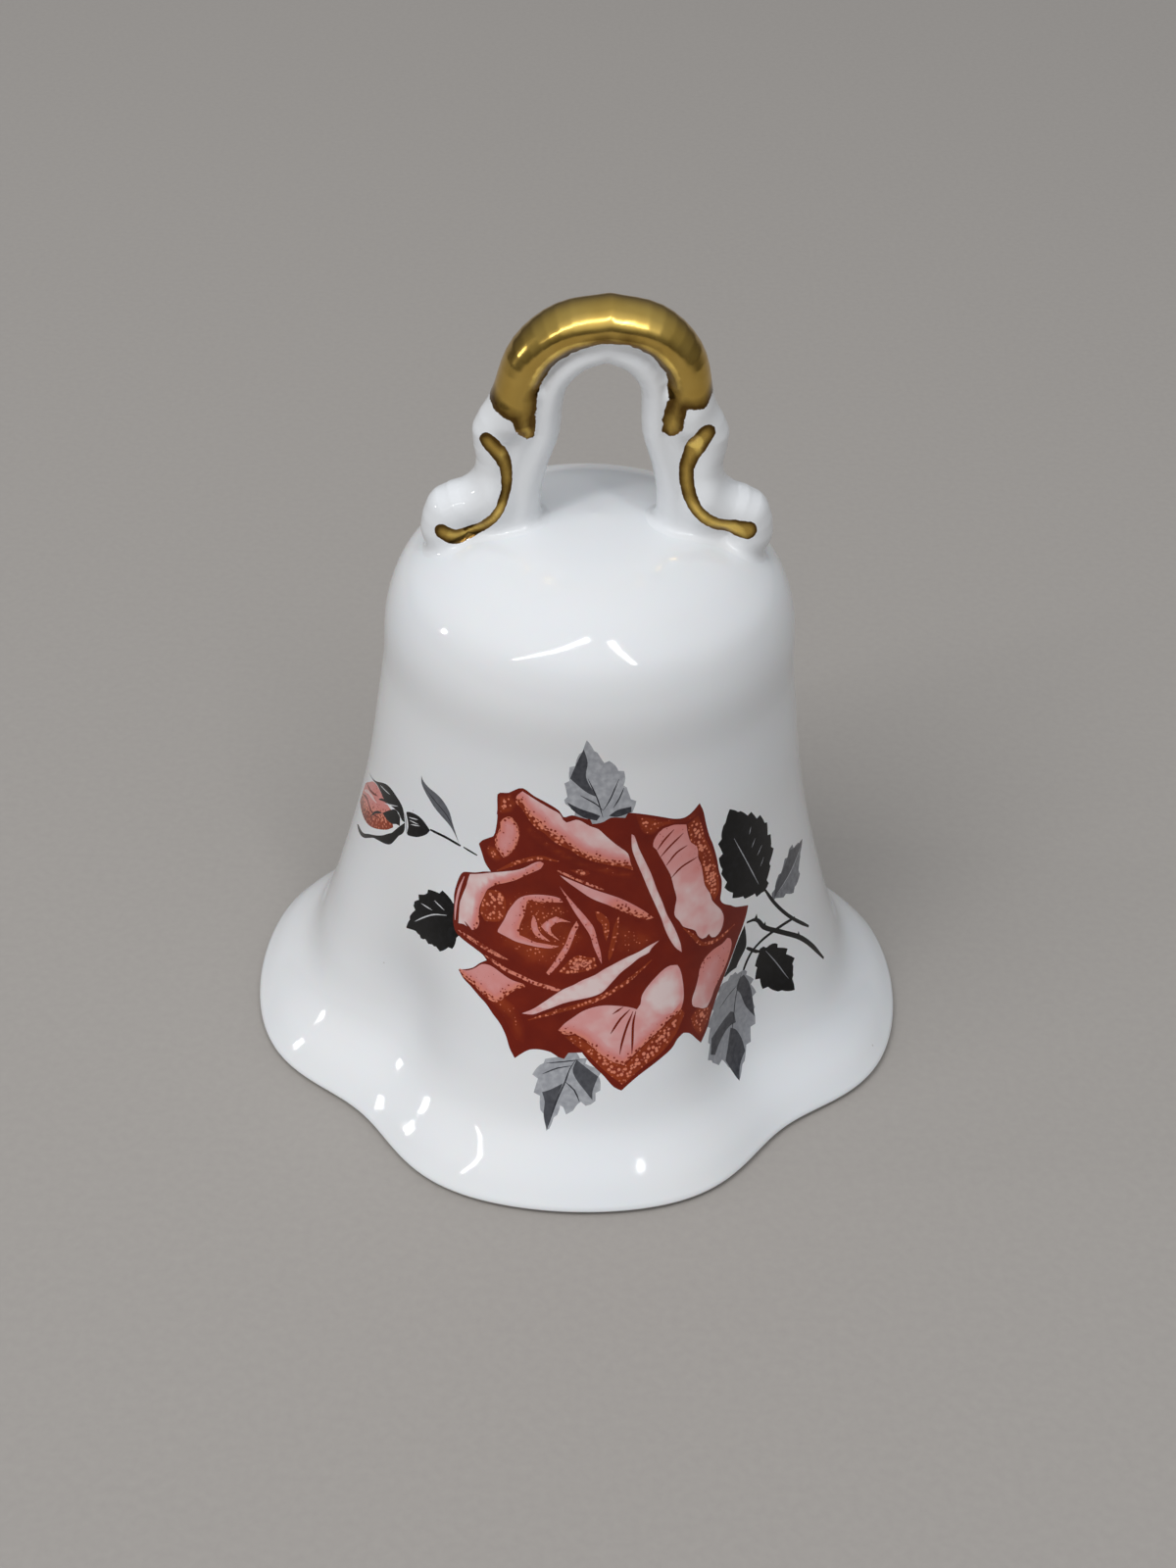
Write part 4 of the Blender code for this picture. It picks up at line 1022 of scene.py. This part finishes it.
def floor_material():
    """Plain matt grey that is seen from above only, so that the bell's inside shows from below."""
    material, tree, shader = new_material("floor", Roughness=0.9, Specular_IOR_Level=0.0)
    tint = blend(tree, noise(tree, 3, 3.0), colour(168, 163, 158), colour(160, 155, 151))
    grain = blend(tree, noise(tree, 900, 4.0), tint, colour(172, 167, 162))
    tree.links.new(grain, shader.inputs["Base Color"])
    below = node(tree, "NewGeometry").outputs["Backfacing"]
    clear = node(tree, "BsdfTransparent").outputs["BSDF"]
    sides = node(tree, "MixShader", {0: below, 1: shader.outputs["BSDF"], 2: clear}).outputs["Shader"]
    tree.links.new(sides, tree.nodes["Material Output"].inputs["Surface"])
    return material


# ---------------------------------------------------------------- stage

def add_camera():
    forward = Vector((0, math.cos(CAMERA_TILT), -math.sin(CAMERA_TILT)))
    up = Vector((0, math.sin(CAMERA_TILT), math.cos(CAMERA_TILT)))
    right = Vector((1, 0, 0))
    side = right * math.cos(CAMERA_ROLL) + up * math.sin(CAMERA_ROLL)
    top = up * math.cos(CAMERA_ROLL) - right * math.sin(CAMERA_ROLL)
    ahead, sideways, upwards = CAMERA_SEES_ORIGIN
    matrix = Matrix((side, top, -forward)).transposed().to_4x4()
    matrix.translation = -(ahead * forward + sideways * side + upwards * top) * MM
    data = bpy.data.cameras.new("camera")
    data.lens = CAMERA_LENS
    data.clip_start = 0.01
    camera = bpy.data.objects.new("camera", data)
    camera.matrix_world = matrix
    bpy.context.scene.collection.objects.link(camera)
    bpy.context.scene.camera = camera


def add_light(name, place, size, power, turn, hidden):
    """A lamp of this width and length. It faces the bell, or faces down and is turned about Z where a turn is
    given. A hidden one isn't seen in reflections."""
    data = bpy.data.lights.new(name, "AREA")
    data.shape = "RECTANGLE"
    data.size, data.size_y = size
    data.energy = power
    light = bpy.data.objects.new(name, data)
    light.location = place
    if turn is None:
        light.rotation_euler = (Vector(place) - Vector(LAMP_AIM)).to_track_quat("Z", "Y").to_euler()
    else:
        light.rotation_euler = (0, 0, math.radians(turn))
    light.visible_glossy = not hidden
    bpy.context.scene.collection.objects.link(light)


def add_floor():
    turns = np.arange(COLUMNS) * 2 * math.pi / COLUMNS
    edge = np.stack([np.sin(turns), -np.cos(turns), 0 * turns], axis=1) * FLOOR_RADIUS
    points = np.vstack([placed(FLOOR_HOLE, 0.0, turns) * MM, edge])
    after = (np.arange(COLUMNS) + 1) % COLUMNS
    ring = [(i, i + COLUMNS, j + COLUMNS, j) for i, j in enumerate(after.tolist())]
    mesh = bpy.data.meshes.new("floor")
    mesh.from_pydata(points.tolist(), [], ring)
    mesh.materials.append(floor_material())
    floor = bpy.data.objects.new("floor", mesh)
    bpy.context.scene.collection.objects.link(floor)


def add_world():
    """A studio that is brightest overhead, and nearly as bright from below for views of the bell's inside.
    The camera itself sees a plain grey."""
    world = bpy.data.worlds.new("studio")
    bpy.context.scene.world = world
    world.use_nodes = True
    tree = world.node_tree
    way = node(tree, "TexCoord").outputs["Generated"]
    height = node(tree, "SeparateXYZ", {0: way}).outputs["Z"]
    sky = ramp(tree, spread(tree, height, -1, 1), [
        (0.0, (1.3, 1.3, 1.3, 1)), (0.4, colour(150, 148, 146)), (0.5, colour(96, 92, 88)),
        (0.67, colour(150, 150, 150)), (0.95, colour(226, 230, 235))])
    towards = node(tree, "VectorMath", {0: way, 1: BRIGHT_WAY}, operation="DOT_PRODUCT").outputs["Value"]
    lit = blend(tree, spread(tree, towards, 0.72, 0.97), sky, (1.4, 1.45, 1.5, 1))
    seen = node(tree, "LightPath").outputs["Is Camera Ray"]
    background = tree.nodes["Background"]
    tree.links.new(blend(tree, seen, lit, colour(188, 185, 181)), background.inputs["Color"])
    background.inputs["Strength"].default_value = 0.6


def main():
    glaze = glaze_material()
    make_body([glaze, rose_material(), leaf_material()])
    make_handle(gilded_material())
    wire = wire_material()
    for name, material in (("clapper_ball", glaze), ("staple", wire), ("link", wire), ("clapper_pin", wire),
                           ("cement_plug", cement_material())):
        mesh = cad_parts[name].data
        mesh.materials.clear()
        mesh.materials.append(material)
    add_floor()
    add_world()
    for name, lamp in LAMPS.items():
        add_light(name, *lamp)
    bpy.context.scene.view_settings.view_transform = "Standard"
    add_camera()


main()
